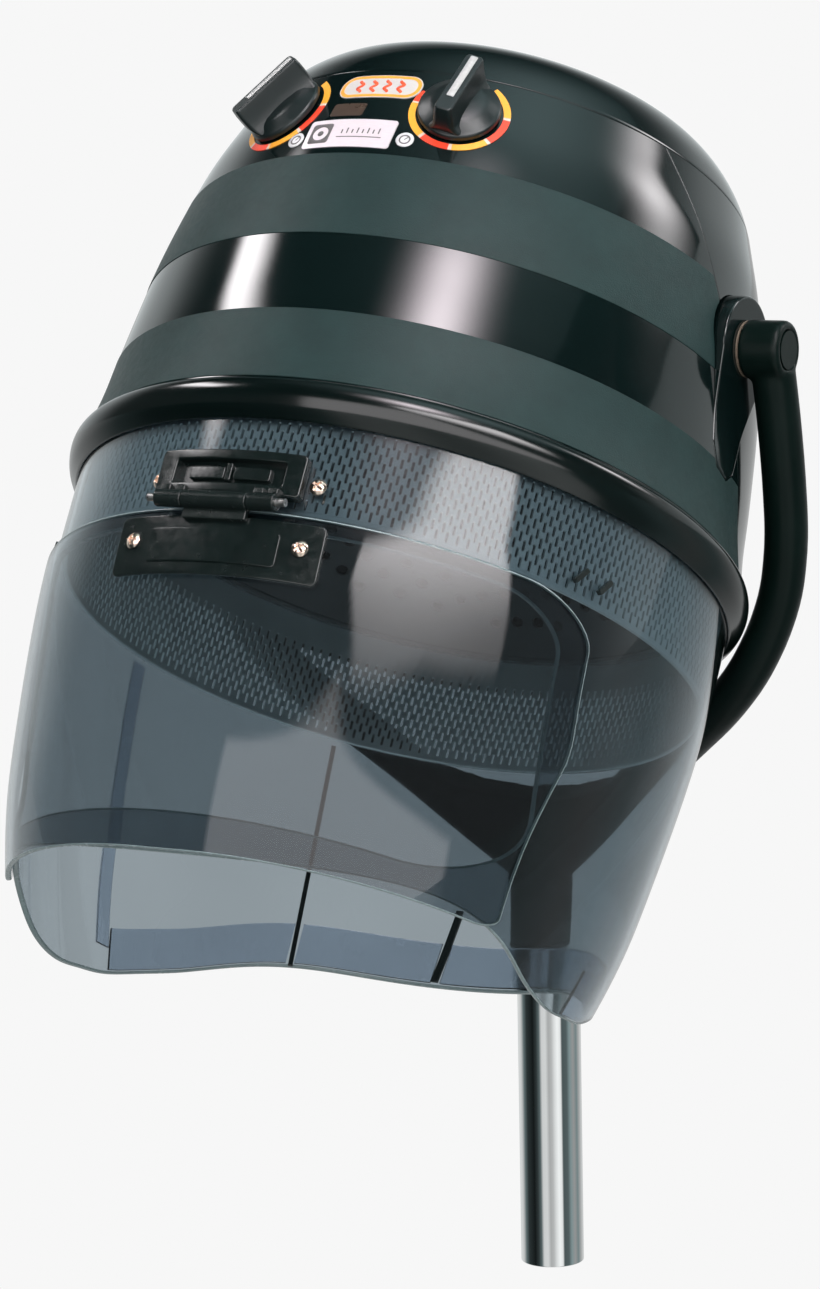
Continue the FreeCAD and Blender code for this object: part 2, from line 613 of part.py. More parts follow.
inside_face = -g("skirt_wall") - 0.1
ribs = [upright(-145.2, -147.6, 2.6, -180.0, -311.0, inside_face - 1.9, inside_face),
        upright(-178.0, -177.2, 4.2, -261.0, -304.0, inside_face - 2.1, inside_face)]
feature("skirt_ribs", ribs)
strip = upright(-101.6, -105.0, 9.4, -180.0, -338.0, inside_face - 1.3, inside_face)
hem = spun(SKIRT_C, u_at(SKIRT_C, -278.0), SKIRT_C.LastParameter, inside_face - 1.4, inside_face, n=10)
low_cut, high_cut = side_trim(), side_trim()
low_cut.translate(V(0, 0, 1.4))
high_cut.translate(V(0, 0, 25.0))
hem = hem.cut(low_cut).common(high_cut).common(Part.makeBox(500, 300, 200, V(-250, 20.0, -400)))
for gap in (upright(-101.6, -105.0, 9.4, -180.0, -338.0, -9.0, 4.0, 0.4), upright(-145.2, -147.6, 2.6, -180.0, -311.0, -9.0, 4.0, 0.4),
            upright(-178.0, -177.2, 4.2, -261.0, -304.0, -9.0, 4.0, 0.4)):
    hem = hem.cut(gap)
feature("skirt_hem", [strip] + list(hem.Solids))

# ================================================================ air diffuser
rd, wd = d("diff_rad"), d("diff_wall")
diff = lathe("diffuser_blank", [(rd - wd, d("diff_low")), (rd + 0.8, d("diff_low")), (rd + 0.8, d("diff_low") + 2.4), (rd, d("diff_low") + 2.4),
                                (rd, d("ring_top") - 2), (161.0, d("ring_top") - 2), (161.0, d("ring_top") - 4), (rd - wd, d("ring_top") - 4)])
NODES.remove(diff)
doc.recompute()
slots = []
for k, zc in enumerate((-166.0, -153.5, -141.0)):
    for i in range(48):
        b = Part.makeBox(g("slot_w"), 20, g("slot_h"), V(-g("slot_w") / 2, 158, zc - g("slot_h") / 2))
        b.rotate(V(0, 0, 0), V(0, 0, 1), 7.5 * (i + 0.5 * (k % 2)))
        slots.append(b)
slot_pack = doc.addObject("Part::Feature", "diffuser_slots")
slot_pack.Shape = Part.makeCompound(slots)
screw_pack = doc.addObject("Part::Feature", "diffuser_screw_holes")
screw_pack.Shape = Part.makeCompound([radial_rod(x, z, g("screw_rad"), 150, 190) for x, z in UP])
keep(p_cut("diffuser_cut", p_cut("diffuser_slotted", diff, slot_pack), screw_pack), "diffuser", HOOD)
diff.Placement = FreeCAD.Placement()

a, h = g("dome_base"), g("dome_rise")
ball = (a * a + h * h) / (2 * h)
zc = g("dome_z") + h - ball
dome = Part.makeSphere(ball, V(0, 0, zc)).cut(Part.makeSphere(ball - g("dome_wall"), V(0, 0, zc)))
dome = dome.common(Part.makeCylinder(a, 200, V(0, 0, g("dome_z"))))
dome = dome.fuse(Part.makeCylinder(165.3, 2, V(0, 0, g("dome_z") - 0.1)).cut(Part.makeCylinder(a - 3.4, 2, V(0, 0, g("dome_z") - 0.1))))
holes = []
for ring_r, count in ((28, 8), (62, 16), (96, 24), (128, 30)):
    for i in range(count):
        a2 = 2 * math.pi * (i + 0.5 * (ring_r == 96)) / count
        holes.append(rod(4.0, 120, V(ring_r * math.cos(a2), ring_r * math.sin(a2), -112), V(0, 0, 1)))
dome = dome.cut(Part.makeCompound(holes))
feature("inner_dome", dome)

# ============================================================ controls on the dome
for sgn, word, point in ((1, "right", "right_point"), (-1, "left", "left_point")):
    q = dial_place(sgn * g("knob_theta"))
    tube = rod(g("scale_out"), 30, V(0, 0, -15), V(0, 0, 1)).cut(rod(g("scale_in"), 30, V(0, 0, -15), V(0, 0, 1)))
    tube.Placement = q
    skin = spun(DOME_C, u_at(DOME_C, 28.0), u_high, 0.02, 0.5, n=8)
    feature("scale_ring_" + word, skin.common(tube))
name_of = {1: ("thermostat", "right", "right_point"), -1: ("timer", "left", "left_point")}
for sgn in (-1, 1):
    what, word, point = name_of[sgn]
    base = HOOD.multiply(dial_place(sgn * g("knob_theta")))
    turned = HOOD.multiply(dial_place(sgn * g("knob_theta"), g(point)))
    disc = lathe(what + "_knob_disc", [(0, 0.6), (d("knob_rad"), 0.6), (d("knob_rad"), 3.4), (d("knob_rad") - 1.0, 4.6), (15.5, 8.5), (0, 9.5)],
                 shift(0, 0, 0))
    NODES.remove(disc)
    bar = p_box(what + "_knob_bar", d("knob_bar_w"), d("knob_bar_len"), d("knob_top") - 4.5)
    bar.setExpression("Placement.Base.x", "-Params.knob_bar_w / 2")
    bar.setExpression("Placement.Base.y", "-Params.knob_bar_len / 2")
    bar.Placement.Base.z = 4.5
    chm = doc.addObject("Part::Chamfer", what + "_knob_grip")
    doc.recompute()
    chm.Base = bar
    picks = []
    for i, e in enumerate(bar.Shape.Edges, start=1):
        bb = e.BoundBox
        if bb.ZMin > g("knob_top") - 1e-3 and bb.YLength > 5:
            picks.append((i, 1.6, 1.6))
        elif bb.ZMin > g("knob_top") - 1e-3:
            picks.append((i, 2.2, 2.2))
    chm.Edges = picks
    solid = p_fuse(what + "_knob_solid", [disc, chm])
    keep(p_cut(what + "_knob", solid, p_cyl(what + "_knob_socket", d("shaft_rad"), 12.0)), what + "_knob", turned)
    sh = p_cyl(what + "_shaft", d("shaft_rad"), 38.0)
    keep(sh, what + "_shaft", turned.multiply(shift(0, 0, -26)))
    strip = p_box(what + "_pointer", 2.6, 30.0, 0.5)
    keep(strip, what + "_pointer", turned.multiply(shift(-1.3, -10.0, g("knob_top"))))
    box = p_box(what + "_case", 40.0, 40.0, 22.0, shift(-20, -20, -31))
    neck_c = p_cyl(what + "_neck", 4.5, 8.0, shift(0, 0, -9))
    unit = p_fuse(what + "_unit_solid", [box, neck_c])
    keep(p_cut(what + "_unit_cut", unit, p_cyl(what + "_unit_bore", d("shaft_rad") + d("run_gap"), 28.0, shift(0, 0, -27))),
         what + "_unit", base)
nuts = []
for sgn in (1, -1):
    pts = [V(7.2 * math.cos(math.radians(60 * i)), 7.2 * math.sin(math.radians(60 * i)), -6.4) for i in range(6)]
    n = prism(pts, V(0, 0, 3.2)).cut(rod(4.5, 4, V(0, 0, -6.6), V(0, 0, 1)))
    n.Placement = dial_place(sgn * g("knob_theta"))
    nuts.append(n)
feature("panel_nuts", nuts)


def skin_patch(theta, z, w, h_, lift0, lift1, cut_r):
    tool = Part.makeBox(w, h_, 30, V(-w / 2, -h_ / 2, -15))
    tool = tool.makeFillet(cut_r, [e for e in tool.Edges if e.BoundBox.ZLength > 20])
    t = math.radians(theta)
    er, et = V(math.sin(t), -math.cos(t), 0), V(math.cos(t), math.sin(t), 0)
    slope = (lerp(DOME, z - 8) - lerp(DOME, z + 8)) / 16.0
    nn = (er + V(0, 0, slope)).normalize()
    tool.Placement = FreeCAD.Placement(er * outer_at(z) + V(0, 0, z), frame_rot(et, nn.cross(et), nn))
    return spun(DOME_C, u_at(DOME_C, 27.2), u_high, lift0, lift1, n=8).common(tool)


feature("label_plate", skin_patch(-0.5, 39.5, 50.0, 19.0, 0.02, 0.6, 2.0))
feature("badge", skin_patch(1.2, 72.0, 46.0, 17.0, 0.02, 0.9, 8.0))

# ============================================================== fan and heating
plate_z, plate_t = g("plate_z"), g("plate_t")
bracket = Part.makeCylinder(62, plate_t, V(0, 0, plate_z))
for ang in (75, -75, 180):
    leg = Part.makeBox(16, 142.4, plate_t, V(-8, -142.4, plate_z))
    leg.rotate(V(0, 0, 0), V(0, 0, 1), ang)
    tab = Part.makeBox(16, 2.5, 14, V(-8, -142.4, plate_z - 11.5))
    tab.rotate(V(0, 0, 0), V(0, 0, 1), ang)
    bracket = bracket.fuse(leg).fuse(tab)
bracket = bracket.cut(Part.makeCylinder(12, 10, V(0, 0, plate_z - 3)))
for i in range(3):
    a2 = math.radians(120 * i + 40)
    bracket = bracket.cut(rod(2.0, 10, V(34 * math.cos(a2), 34 * math.sin(a2), plate_z - 3), V(0, 0, 1)))
feature("motor_bracket", bracket)
lathe("motor", [(d("shaft_rad") + 1 + d("run_gap"), d("plate_z") + d("plate_t")), (d("motor_rad"), d("plate_z") + d("plate_t")), (d("motor_rad"), 98.0),
                (20.0, 102.0), (20.0, 108.0), (0, 108.0), (0, 100.0), (d("shaft_rad") + 1 + d("run_gap"), 100.0)])
feature("motor_screws", [rod(2.0, 8.0, V(34 * math.cos(math.radians(120 * i + 40)), 34 * math.sin(math.radians(120 * i + 40)), plate_z - 5.5), V(0, 0, 1))
                         .fuse(rod(3.8, 2.8, V(34 * math.cos(math.radians(120 * i + 40)), 34 * math.sin(math.radians(120 * i + 40)), plate_z - 2.8), V(0, 0, 1)))
                         .common(rod(5, 5.3, V(34 * math.cos(math.radians(120 * i + 40)), 34 * math.sin(math.radians(120 * i + 40)), plate_z - 2.8), V(0, 0, 1)))
                         for i in range(3)])
keep(p_cyl("motor_shaft", d("shaft_rad") + 1, 77.0), "motor_shaft", HOOD.multiply(shift(0, 0, 21)))
fan = Part.makeCylinder(g("fan_rad"), 1.6, V(0, 0, g("fan_top") - 1.6))
fan = fan.fuse(Part.makeCylinder(10, g("fan_top") - g("fan_low"), V(0, 0, g("fan_low"))))
fan = fan.fuse(Part.makeCylinder(g("fan_rad"), 1.6, V(0, 0, g("fan_low"))).cut(Part.makeCylinder(g("fan_rad") - 18, 1.6, V(0, 0, g("fan_low")))))
blades = []
for i in range(20):
    bl = Part.makeBox(1.4, 17.0, g("fan_top") - g("fan_low") - 0.4, V(-0.7, g("fan_rad") - 17.6, g("fan_low") + 0.2))
    bl.rotate(V(0, g("fan_rad") - 9, 0), V(0, 0, 1), 28)
    bl.rotate(V(0, 0, 0), V(0, 0, 1), 18 * i)
    blades.append(bl)
fan = fan.multiFuse(blades).cut(Part.makeCylinder(g("shaft_rad") + 1, 60, V(0, 0, 10)))
feature("impeller", fan)
lathe("air_baffle", [(76.0, d("baffle_z")), (153.2, d("baffle_z")), (152.9, d("baffle_z") + 2), (78.0, d("baffle_z") + 2),
                     (78.0, d("baffle_z") + 12), (76.0, d("baffle_z") + 12)])
coil = Part.makeTorus(66, 5.5, V(0, 0, -4)).fuse(Part.makeTorus(42, 5.5, V(0, 0, -4)))
frame_a = Part.makeBox(176, 1.4, 26, V(-88, -0.7, -18.5)).fuse(Part.makeBox(1.4, 176, 26, V(-0.7, -88, -18.5)))
coil_solids = [Part.makeTorus(66, 5.5, V(0, 0, -4)), Part.makeTorus(42, 5.5, V(0, 0, -4))]
frame_a = frame_a.cut(Part.makeCompound(coil_solids))
frame_a = frame_a.fuse(Part.makeCylinder(89.4, 22, V(0, 0, -18.5)).cut(Part.makeCylinder(88, 22, V(0, 0, -18.5))))
feature("heater_frame", frame_a)
feature("heater_coils", coil_solids)
keep(p_cyl("thermal_cutout", 8.0, 7.0), "thermal_cutout", HOOD.multiply(shift(70, 80, 7.9)))
keep(p_box("terminal_block", 38.0, 16.0, 14.0), "terminal_block", HOOD.multiply(shift(-19, 118, 17.0)))
lead = soft_path([V(14, 122, 31), V(14, 122, 48), V(15, 104, 66), V(16, 84, 78), V(17, 62, 84), V(17.5, 36.0, 85)])
lead_ring = Part.Wire(Part.Circle(V(14, 122, 31), V(0, 0, 1), 2.6).toShape())
lead_tube = lead.makePipeShell([lead_ring], True, False).cut(Part.makeCylinder(g("motor_rad"), 60, V(0, 0, 55)))
feature("motor_lead", lead_tube)

# ===================================================================== output
doc.recompute()
bad = []
for obj in doc.Objects:
    if "Invalid" in obj.State or "Error" in obj.State:
        bad.append("%s %s" % (obj.Name, obj.State))
for obj in NODES:
    s = obj.Shape
    if s.isNull() or not s.isValid() or not s.Solids or s.Volume <= 0:
        bad.append("shape of %s" % obj.Label)
if bad:
    raise RuntimeError("model has failed objects: " + "; ".join(bad))
os.makedirs("parts", exist_ok=True)
for obj in NODES:
    obj.Shape.exportStep(os.path.join("parts", obj.Label + ".step"))
    print("%-22s solids %2d  volume %10.1f" % (obj.Label, len(obj.Shape.Solids), obj.Shape.Volume))
print(len(NODES), "nodes")
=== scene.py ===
import bpy
import bmesh
import json
import math
import numpy as np
from mathutils import Matrix, Vector, kdtree
from mathutils.geometry import delaunay_2d_cdt


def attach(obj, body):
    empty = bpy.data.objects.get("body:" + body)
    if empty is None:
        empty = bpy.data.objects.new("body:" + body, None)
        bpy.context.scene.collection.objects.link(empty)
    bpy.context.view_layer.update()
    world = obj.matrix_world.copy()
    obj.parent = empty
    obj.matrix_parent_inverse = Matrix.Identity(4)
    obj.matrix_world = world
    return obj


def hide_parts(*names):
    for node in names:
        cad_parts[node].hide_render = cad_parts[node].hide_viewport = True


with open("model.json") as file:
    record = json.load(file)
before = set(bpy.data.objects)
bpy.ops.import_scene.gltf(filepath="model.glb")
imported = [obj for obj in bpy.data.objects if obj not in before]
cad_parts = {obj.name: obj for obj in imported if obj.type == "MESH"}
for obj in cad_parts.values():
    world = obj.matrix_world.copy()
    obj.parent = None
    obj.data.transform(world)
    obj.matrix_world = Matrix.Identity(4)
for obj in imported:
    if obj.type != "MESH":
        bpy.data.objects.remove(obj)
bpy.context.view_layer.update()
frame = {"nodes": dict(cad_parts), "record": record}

for spare in ("Cube", "Light", "Camera"):
    if spare in bpy.data.objects and spare not in frame["nodes"]:
        bpy.data.objects.remove(bpy.data.objects[spare])
SCENE = bpy.context.scene
NODES = frame["nodes"]
MM = 0.001
PIV = Vector((0.0, -0.091, 0.521))
TILT = math.radians(31.4)
PIVOT = Matrix.Translation(PIV)
HOOD = PIVOT @ Matrix.Rotation(-TILT, 4, "X")


# ------------------------------------------------------------------ curves
class Spline:
    """Natural cubic through (t, value) pairs."""
    def __init__(self, t, v):
        o = np.argsort(t)
        self.t, self.v = np.array(t, float)[o], np.array(v, float)[o]
        n = len(self.t)
        h = np.diff(self.t)
        a = np.zeros((n, n))
        b = np.zeros(n)
        a[0, 0] = a[-1, -1] = 1.0
        for i in range(1, n - 1):
            a[i, i - 1], a[i, i], a[i, i + 1] = h[i - 1], 2 * (h[i - 1] + h[i]), h[i]
            b[i] = 6 * ((self.v[i + 1] - self.v[i]) / h[i] - (self.v[i] - self.v[i - 1]) / h[i - 1])
        self.m = np.linalg.solve(a, b)

    def both(self, x):
        x = np.atleast_1d(np.asarray(x, float))
        i = np.clip(np.searchsorted(self.t, x) - 1, 0, len(self.t) - 2)
        h = self.t[i + 1] - self.t[i]
        a, b = (self.t[i + 1] - x) / h, (x - self.t[i]) / h
        ma, mb = self.m[i], self.m[i + 1]
        val = a * self.v[i] + b * self.v[i + 1] + ((a ** 3 - a) * ma + (b ** 3 - b) * mb) * h * h / 6
        der = (self.v[i + 1] - self.v[i]) / h + ((1 - 3 * a * a) * ma + (3 * b * b - 1) * mb) * h / 6
        return val, der

    def __call__(self, x):
        return self.both(x)[0]


def path_spline(points, n):
    """Smooth curve through points, n samples."""
    p = np.array(points, float)
    s = np.concatenate([[0], np.cumsum(np.linalg.norm(np.diff(p, axis=0), axis=1))])
    q = np.linspace(0, s[-1], n)
    return np.stack([Spline(s, p[:, k])(q) for k in range(p.shape[1])], 1)


DOME_T = [(-108, 174.6), (-90, 171.4), (-67, 169.2), (-45, 166.9), (-23, 164.3), (0, 160.8),
          (26, 155.7), (50, 149.9), (70, 142.9), (84, 137.8)]
CAP_T = [(84, 137.8), (94.8, 132.3), (104.4, 125.5), (114, 115.5), (121.8, 100), (127.8, 76), (131.5, 42), (132.7, 0)]
SKIRT_T = [(-112, 172.0), (-129, 172.0), (-160, 171.8), (-185, 171.4), (-210, 169.8), (-240, 166.8),
           (-270, 163.2), (-300, 158.8), (-328, 152.4), (-350, 146.0), (-372, 138.6)]
EDGE_T = [(-170, -352), (-80, -337), (-46, -346), (-30, -353), (-12, -357.5), (8, -358), (23, -355.5), (41, -352),
          (59, -345.5), (71, -340.5), (88, -333), (103, -325), (126, -313), (143, -307.5), (156, -306), (200, -306)]


class Turned:
    """Surface of revolution about the hood axis, seen as (theta, z); theta 0 is the front, + towards +X."""
    def __init__(self, table):
        self.f = Spline([z for z, r in table], [r for z, r in table])

    def r(self, z):
        return self.f(z)

    def at(self, th, z, off=0.0):
        th, z = np.asarray(th, float), np.asarray(z, float)
        r, dr = self.f.both(z)
        k = 1 / np.sqrt(1 + dr * dr)
        n = np.stack([np.sin(th) * k, -np.cos(th) * k, -dr * k], 1)
        p = np.stack([r * np.sin(th), -r * np.cos(th), z], 1)
        return p + n * off, n


DOME, SKIRT = Turned(DOME_T), Turned(SKIRT_T)


# ------------------------------------------------------------------ meshes
def add_mesh(name, verts_mm, faces, normals=None, smooth=True):
    me = bpy.data.meshes.new(name)
    me.from_pydata([tuple(v) for v in (np.asarray(verts_mm, float) * MM)], [], [tuple(int(i) for i in f) for f in faces])
    me.update()
    if smooth:
        me.polygons.foreach_set("use_smooth", [True] * len(me.polygons))
    if normals is not None:
        nn = np.asarray(normals, float)
        nn = nn / np.maximum(np.linalg.norm(nn, axis=1, keepdims=True), 1e-9)
        me.normals_split_custom_set_from_vertices([tuple(v) for v in nn])
    ob = bpy.data.objects.new(name, me)
    SCENE.collection.objects.link(ob)
    return ob


def place(ob, mat, body, matrix=HOOD, stands_for=()):
    if matrix is HOOD:
        ob.data.transform(HOOD)
    else:
        ob.matrix_world = matrix
    ob.data.materials.clear()
    ob.data.materials.append(mat)
    # rim faces of clear parts get the paler opaque material, a painted highlight for the light the rims catch
    if "edge_from" in ob:
        ob.data.materials.append(M["smoke_edge_highlight"])
        ob.data.polygons.foreach_set("material_index", [1 if i >= ob["edge_from"] else 0 for i in range(len(ob.data.polygons))])
    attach(ob, body)
    if stands_for:
        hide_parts(*stands_for)
    return ob


def recalc(ob):
    bm = bmesh.new()
    bm.from_mesh(ob.data)
    bmesh.ops.recalc_face_normals(bm, faces=bm.faces)
    bm.to_mesh(ob.data)
    bm.free()
    return ob


def modify(ob, kind, **values):
    m = ob.modifiers.new(kind.lower(), kind)
    for k, v in values.items():
        setattr(m, k, v)
    return m


def bake_modifiers(ob):
    dg = bpy.context.evaluated_depsgraph_get()
    dg.update()
    me = bpy.data.meshes.new_from_object(ob.evaluated_get(dg), depsgraph=dg)
    old = ob.data
    ob.modifiers.clear()
    ob.data = me
    bpy.data.meshes.remove(old)
    return ob


def weighted(ob):
    modify(ob, "WEIGHTED_NORMAL", weight=80, keep_sharp=True)
    return ob


def join(name, obs):
    """One object from several with meshes in the same frame."""
    verts, faces, normals, at = [], [], [], 0
    for o in obs:
        co = np.zeros(len(o.data.vertices) * 3)
        o.data.vertices.foreach_get("co", co)
        verts.append(co.reshape(-1, 3) / MM)
        faces += [[i + at for i in p.vertices] for p in o.data.polygons]
        at += len(o.data.vertices)
        bpy.data.objects.remove(o)
    ob = add_mesh(name, np.concatenate(verts), faces)
    return ob


def inside(p, loops):
    x, y = p[:, 0], p[:, 1]
    hit = np.zeros(len(p), bool)
    for lp in loops:
        x0, y0 = lp[:, 0], lp[:, 1]
        x1, y1 = np.roll(x0, -1), np.roll(y0, -1)
        for s in range(0, len(p), 4000):
            xs, ys = x[s:s + 4000, None], y[s:s + 4000, None]
            with np.errstate(divide="ignore", invalid="ignore"):
                c = ((y0 > ys) != (y1 > ys)) & (xs < (x1 - x0) * (ys - y0) / (y1 - y0) + x0)
            hit[s:s + 4000] ^= (c.sum(1) % 2 == 1)
    return hit


def triangles(loops, points):
    """Triangles over the area between loops; indices run over loops then points."""
    coords, edges = [], []
    for lp in loops:
        s, n = len(coords), len(lp)
        coords += [Vector((float(a), float(b))) for a, b in lp]
        edges += [(s + i, s + (i + 1) % n) for i in range(n)]
    coords += [Vector((float(a), float(b))) for a, b in points]
    vs, _, fs, origin, _, _ = delaunay_2d_cdt(coords, edges, [], 0, 1e-8)
    back = [o[0] if o else -1 for o in origin]
    tri = np.array([[back[i] for i in f] for f in fs if len(f) == 3])
    tri = tri[(tri >= 0).all(1)]
    xy = np.array([tuple(c) for c in coords])
    mid = xy[tri].mean(1)
    tri = tri[inside(mid, [np.asarray(lp, float) for lp in loops])]
    a, b, c = xy[tri[:, 0]], xy[tri[:, 1]], xy[tri[:, 2]]
    area = (b[:, 0] - a[:, 0]) * (c[:, 1] - a[:, 1]) - (b[:, 1] - a[:, 1]) * (c[:, 0] - a[:, 0])
    tri[area < 0] = tri[area < 0][:, ::-1]
    return tri[np.abs(area) > 1e-12]


def resample(loop, scale, step):
    """Closed loop with no edge longer than step; scale turns its coordinates into millimetres."""
    out, p = [], np.asarray(loop, float)
    for a, b in zip(p, np.roll(p, -1, axis=0)):
        n = max(1, int(math.ceil(np.linalg.norm((b - a) * scale) / step)))
        out += [a + (b - a) * i / n for i in range(n)]
    out = np.array(out)
    keep = np.linalg.norm((out - np.roll(out, 1, axis=0)) * scale, axis=1) > 1e-4
    return out[keep]


def rounded(points, radii, n=10):
    """Polygon with rounded corners, in order."""
    out, m = [], len(points)
    for i in range(m):
        a, b, c = (np.array(points[j % m], float) for j in (i - 1, i, i + 1))
        r = radii[i] if hasattr(radii, "__len__") else radii
        if r <= 0:
            out.append(b)
            continue
        u, w = (a - b) / np.linalg.norm(a - b), (c - b) / np.linalg.norm(c - b)
        ang = math.acos(max(-1, min(1, float(u @ w))))
        trim = min(r / math.tan(ang / 2), 0.49 * min(np.linalg.norm(a - b), np.linalg.norm(c - b)))
        r = trim * math.tan(ang / 2)
        mid = (u + w) / np.linalg.norm(u + w)
        centre = b + mid * (r / math.sin(ang / 2))
        p, q = b + u * trim - centre, b + w * trim - centre
        a0, a1 = math.atan2(p[1], p[0]), math.atan2(q[1], q[0])
        d = (a1 - a0 + math.pi) % (2 * math.pi) - math.pi
        out += [centre + r * np.array([math.cos(a0 + d * k / n), math.sin(a0 + d * k / n)]) for k in range(n + 1)]
    return np.array(out)


PHI = np.radians([0.0, 22.5, 45.0, 67.5, 90.0])


def skin(name, surf, loops, lo, hi, e, step, ring=False, grid=None, edge_mat=False):
    """Solid between two offsets of a turned surface, inside loops given as (theta, z), with every edge rounded by e.
    The first loop runs anticlockwise seen from outside and holes run clockwise."""
    scale = np.array([float(np.mean(surf.r(loops[0][:, 1]))), 1.0])
    loops = [lp if ring and np.ptp(lp[:, 0]) > 6 else resample(lp, scale, grid or min(step, 1.6)) for lp in loops]
    to2 = (lambda th, z: np.stack([-z * np.sin(th), z * np.cos(th)], 1)) if ring else \
        (lambda th, z: np.stack([th * scale[0], z], 1))
    rows_out, rows_in, nrm_out, nrm_in, flat, first3 = [[] for _ in PHI], [[] for _ in PHI], [[] for _ in PHI], [[] for _ in PHI], [], []
    counts = []
    for lp in loops:
        th, z = lp[:, 0], lp[:, 1]
        po, n = surf.at(th, z, hi)
        pi, _ = surf.at(th, z, lo)
        t = np.roll(po, -1, axis=0) - np.roll(po, 1, axis=0)
        t /= np.maximum(np.linalg.norm(t, axis=1, keepdims=True), 1e-9)
        b = np.cross(n, t)
        b /= np.maximum(np.linalg.norm(b, axis=1, keepdims=True), 1e-9)
        for k, f in enumerate(PHI):
            rows_out[k].append(po + b * e * (1 - math.sin(f)) - n * e * (1 - math.cos(f)))
            rows_in[k].append(pi + b * e * (1 - math.sin(f)) + n * e * (1 - math.cos(f)))
            nrm_out[k].append(n * math.cos(f) - b * math.sin(f))
            nrm_in[k].append(-n * math.cos(f) - b * math.sin(f))
        q = rows_out[0][-1]
        th2 = np.arctan2(q[:, 0], -q[:, 1])
        th2 = th + (th2 - th + math.pi) % (2 * math.pi) - math.pi
        flat.append(np.stack([th2, q[:, 2]], 1))
        first3.append(q)
        counts.append(len(lp))
    edge2 = [to2(f[:, 0], f[:, 1]) for f in flat]
    allf = np.concatenate(flat)
    t0, t1 = (0.0, 2 * math.pi) if ring else (allf[:, 0].min(), allf[:, 0].max())
    z0, z1 = allf[:, 1].min(), allf[:, 1].max()
    nt = max(3, int((t1 - t0) * scale[0] / step))
    nz = max(2, int((z1 - z0) / step))
    ts = np.linspace(t0, t1, nt, endpoint=not ring)
    gt, gz = np.meshgrid(ts, np.linspace(z0, z1, nz + 1))
    gt, gz = gt.ravel(), gz.ravel()
    g2 = to2(gt, gz)
    ok = inside(g2, edge2)
    gt, gz, g2 = gt[ok], gz[ok], g2[ok]
    g3, gn = surf.at(gt, gz, hi)
    tree = kdtree.KDTree(sum(counts))
    for i, q in enumerate(np.concatenate(first3)):
        tree.insert(q, i)
    tree.balance()
    far = np.array([tree.find(q)[2] > 0.45 * step for q in g3], bool)
    gt, gz, g2, g3, gn = gt[far], gz[far], g2[far], g3[far], gn[far]
    tri = triangles(edge2, g2)
    gi, _ = surf.at(gt, gz, lo)
    nb, ng = sum(counts), len(gt)
    verts = [np.concatenate(rows_out[0]), g3, np.concatenate(rows_in[0]), gi]
    norms = [np.concatenate(nrm_out[0]), gn, np.concatenate(nrm_in[0]), -gn]
    faces = [tuple(t) for t in tri] + [tuple(t[::-1] + nb + ng) for t in tri]
    starts = {("o", 0): 0, ("i", 0): nb + ng}
    n_flat = len(faces)
    at = 2 * (nb + ng)
    for side, rows, nn in (("o", rows_out, nrm_out), ("i", rows_in, nrm_in)):
        for k in range(1, len(PHI)):
            starts[(side, k)] = at
            verts.append(np.concatenate(rows[k]))
            norms.append(np.concatenate(nn[k]))
            at += nb
    seq = [starts[("o", k)] for k in range(len(PHI))] + [starts[("i", k)] for k in reversed(range(len(PHI)))]
    s = 0
    for c in counts:
        for p, q in zip(seq, seq[1:]):
            for i in range(c):
                j = (i + 1) % c
                faces.append((q + s + i, q + s + j, p + s + j, p + s + i))
        s += c
    ob = add_mesh(name, np.concatenate(verts), faces, np.concatenate(norms))
    # faces from n_flat on are the rounded rims, later given the painted-highlight edge material
    if edge_mat:
        ob["edge_from"] = n_flat
    return ob


def lathe(name, profile, seg=192, closed=True, axis_pts=False):
    """Turned about Z from (r, z) points; a closed outline or an open one that meets the axis at both ends."""
    p = np.asarray(profile, float)
    n = len(p)
    a = np.linspace(0, 2 * math.pi, seg, endpoint=False)
    verts, rows = [], []
    for r, z in p:
        if r < 1e-6:
            rows.append([len(verts)])
            verts.append((0, 0, z))
        else:
            rows.append(list(range(len(verts), len(verts) + seg)))
            verts += [(r * math.sin(t), -r * math.cos(t), z) for t in a]
    faces = []
    for k in range(n if closed else n - 1):
        u, w = rows[k], rows[(k + 1) % n]
        for i in range(seg):
            j = (i + 1) % seg
            f = [u[i % len(u)], u[j % len(u)], w[j % len(w)], w[i % len(w)]]
            f = [x for m, x in enumerate(f) if x not in f[:m]]
            if len(f) > 2:
                faces.append(f)
    return recalc(add_mesh(name, verts, faces))


def slab(name, loops, z0, z1, e=0.0, seg=3, matrix=None):
    """Flat plate from an outline with holes in XY, thickness along Z, with bevelled edges."""
    loops = [np.asarray(lp, float) for lp in loops]
    tri = triangles(loops, np.zeros((0, 2)))
    xy = np.concatenate(loops)
    n = len(xy)
    v = np.concatenate([np.c_[xy, np.full(n, z1)], np.c_[xy, np.full(n, z0)]])
    f = [tuple(t) for t in tri] + [tuple(t[::-1] + n) for t in tri]
    s = 0
    for lp in loops:
        c = len(lp)
        for i in range(c):
            j = (i + 1) % c
            f.append((s + i, s + n + i, s + n + j, s + j))
        s += c
    if matrix is not None:
        v = np.array([matrix @ Vector(q) for q in v])
    ob = recalc(add_mesh(name, v, f))
    if e:
        bevel(ob, e, seg)
        bake_modifiers(ob)
    return ob


def bevel(ob, width, seg=3, angle=30):
    modify(ob, "BEVEL", width=width * MM, segments=seg, limit_method="ANGLE", angle_limit=math.radians(angle),
           harden_normals=False, use_clamp_overlap=True)
    return ob


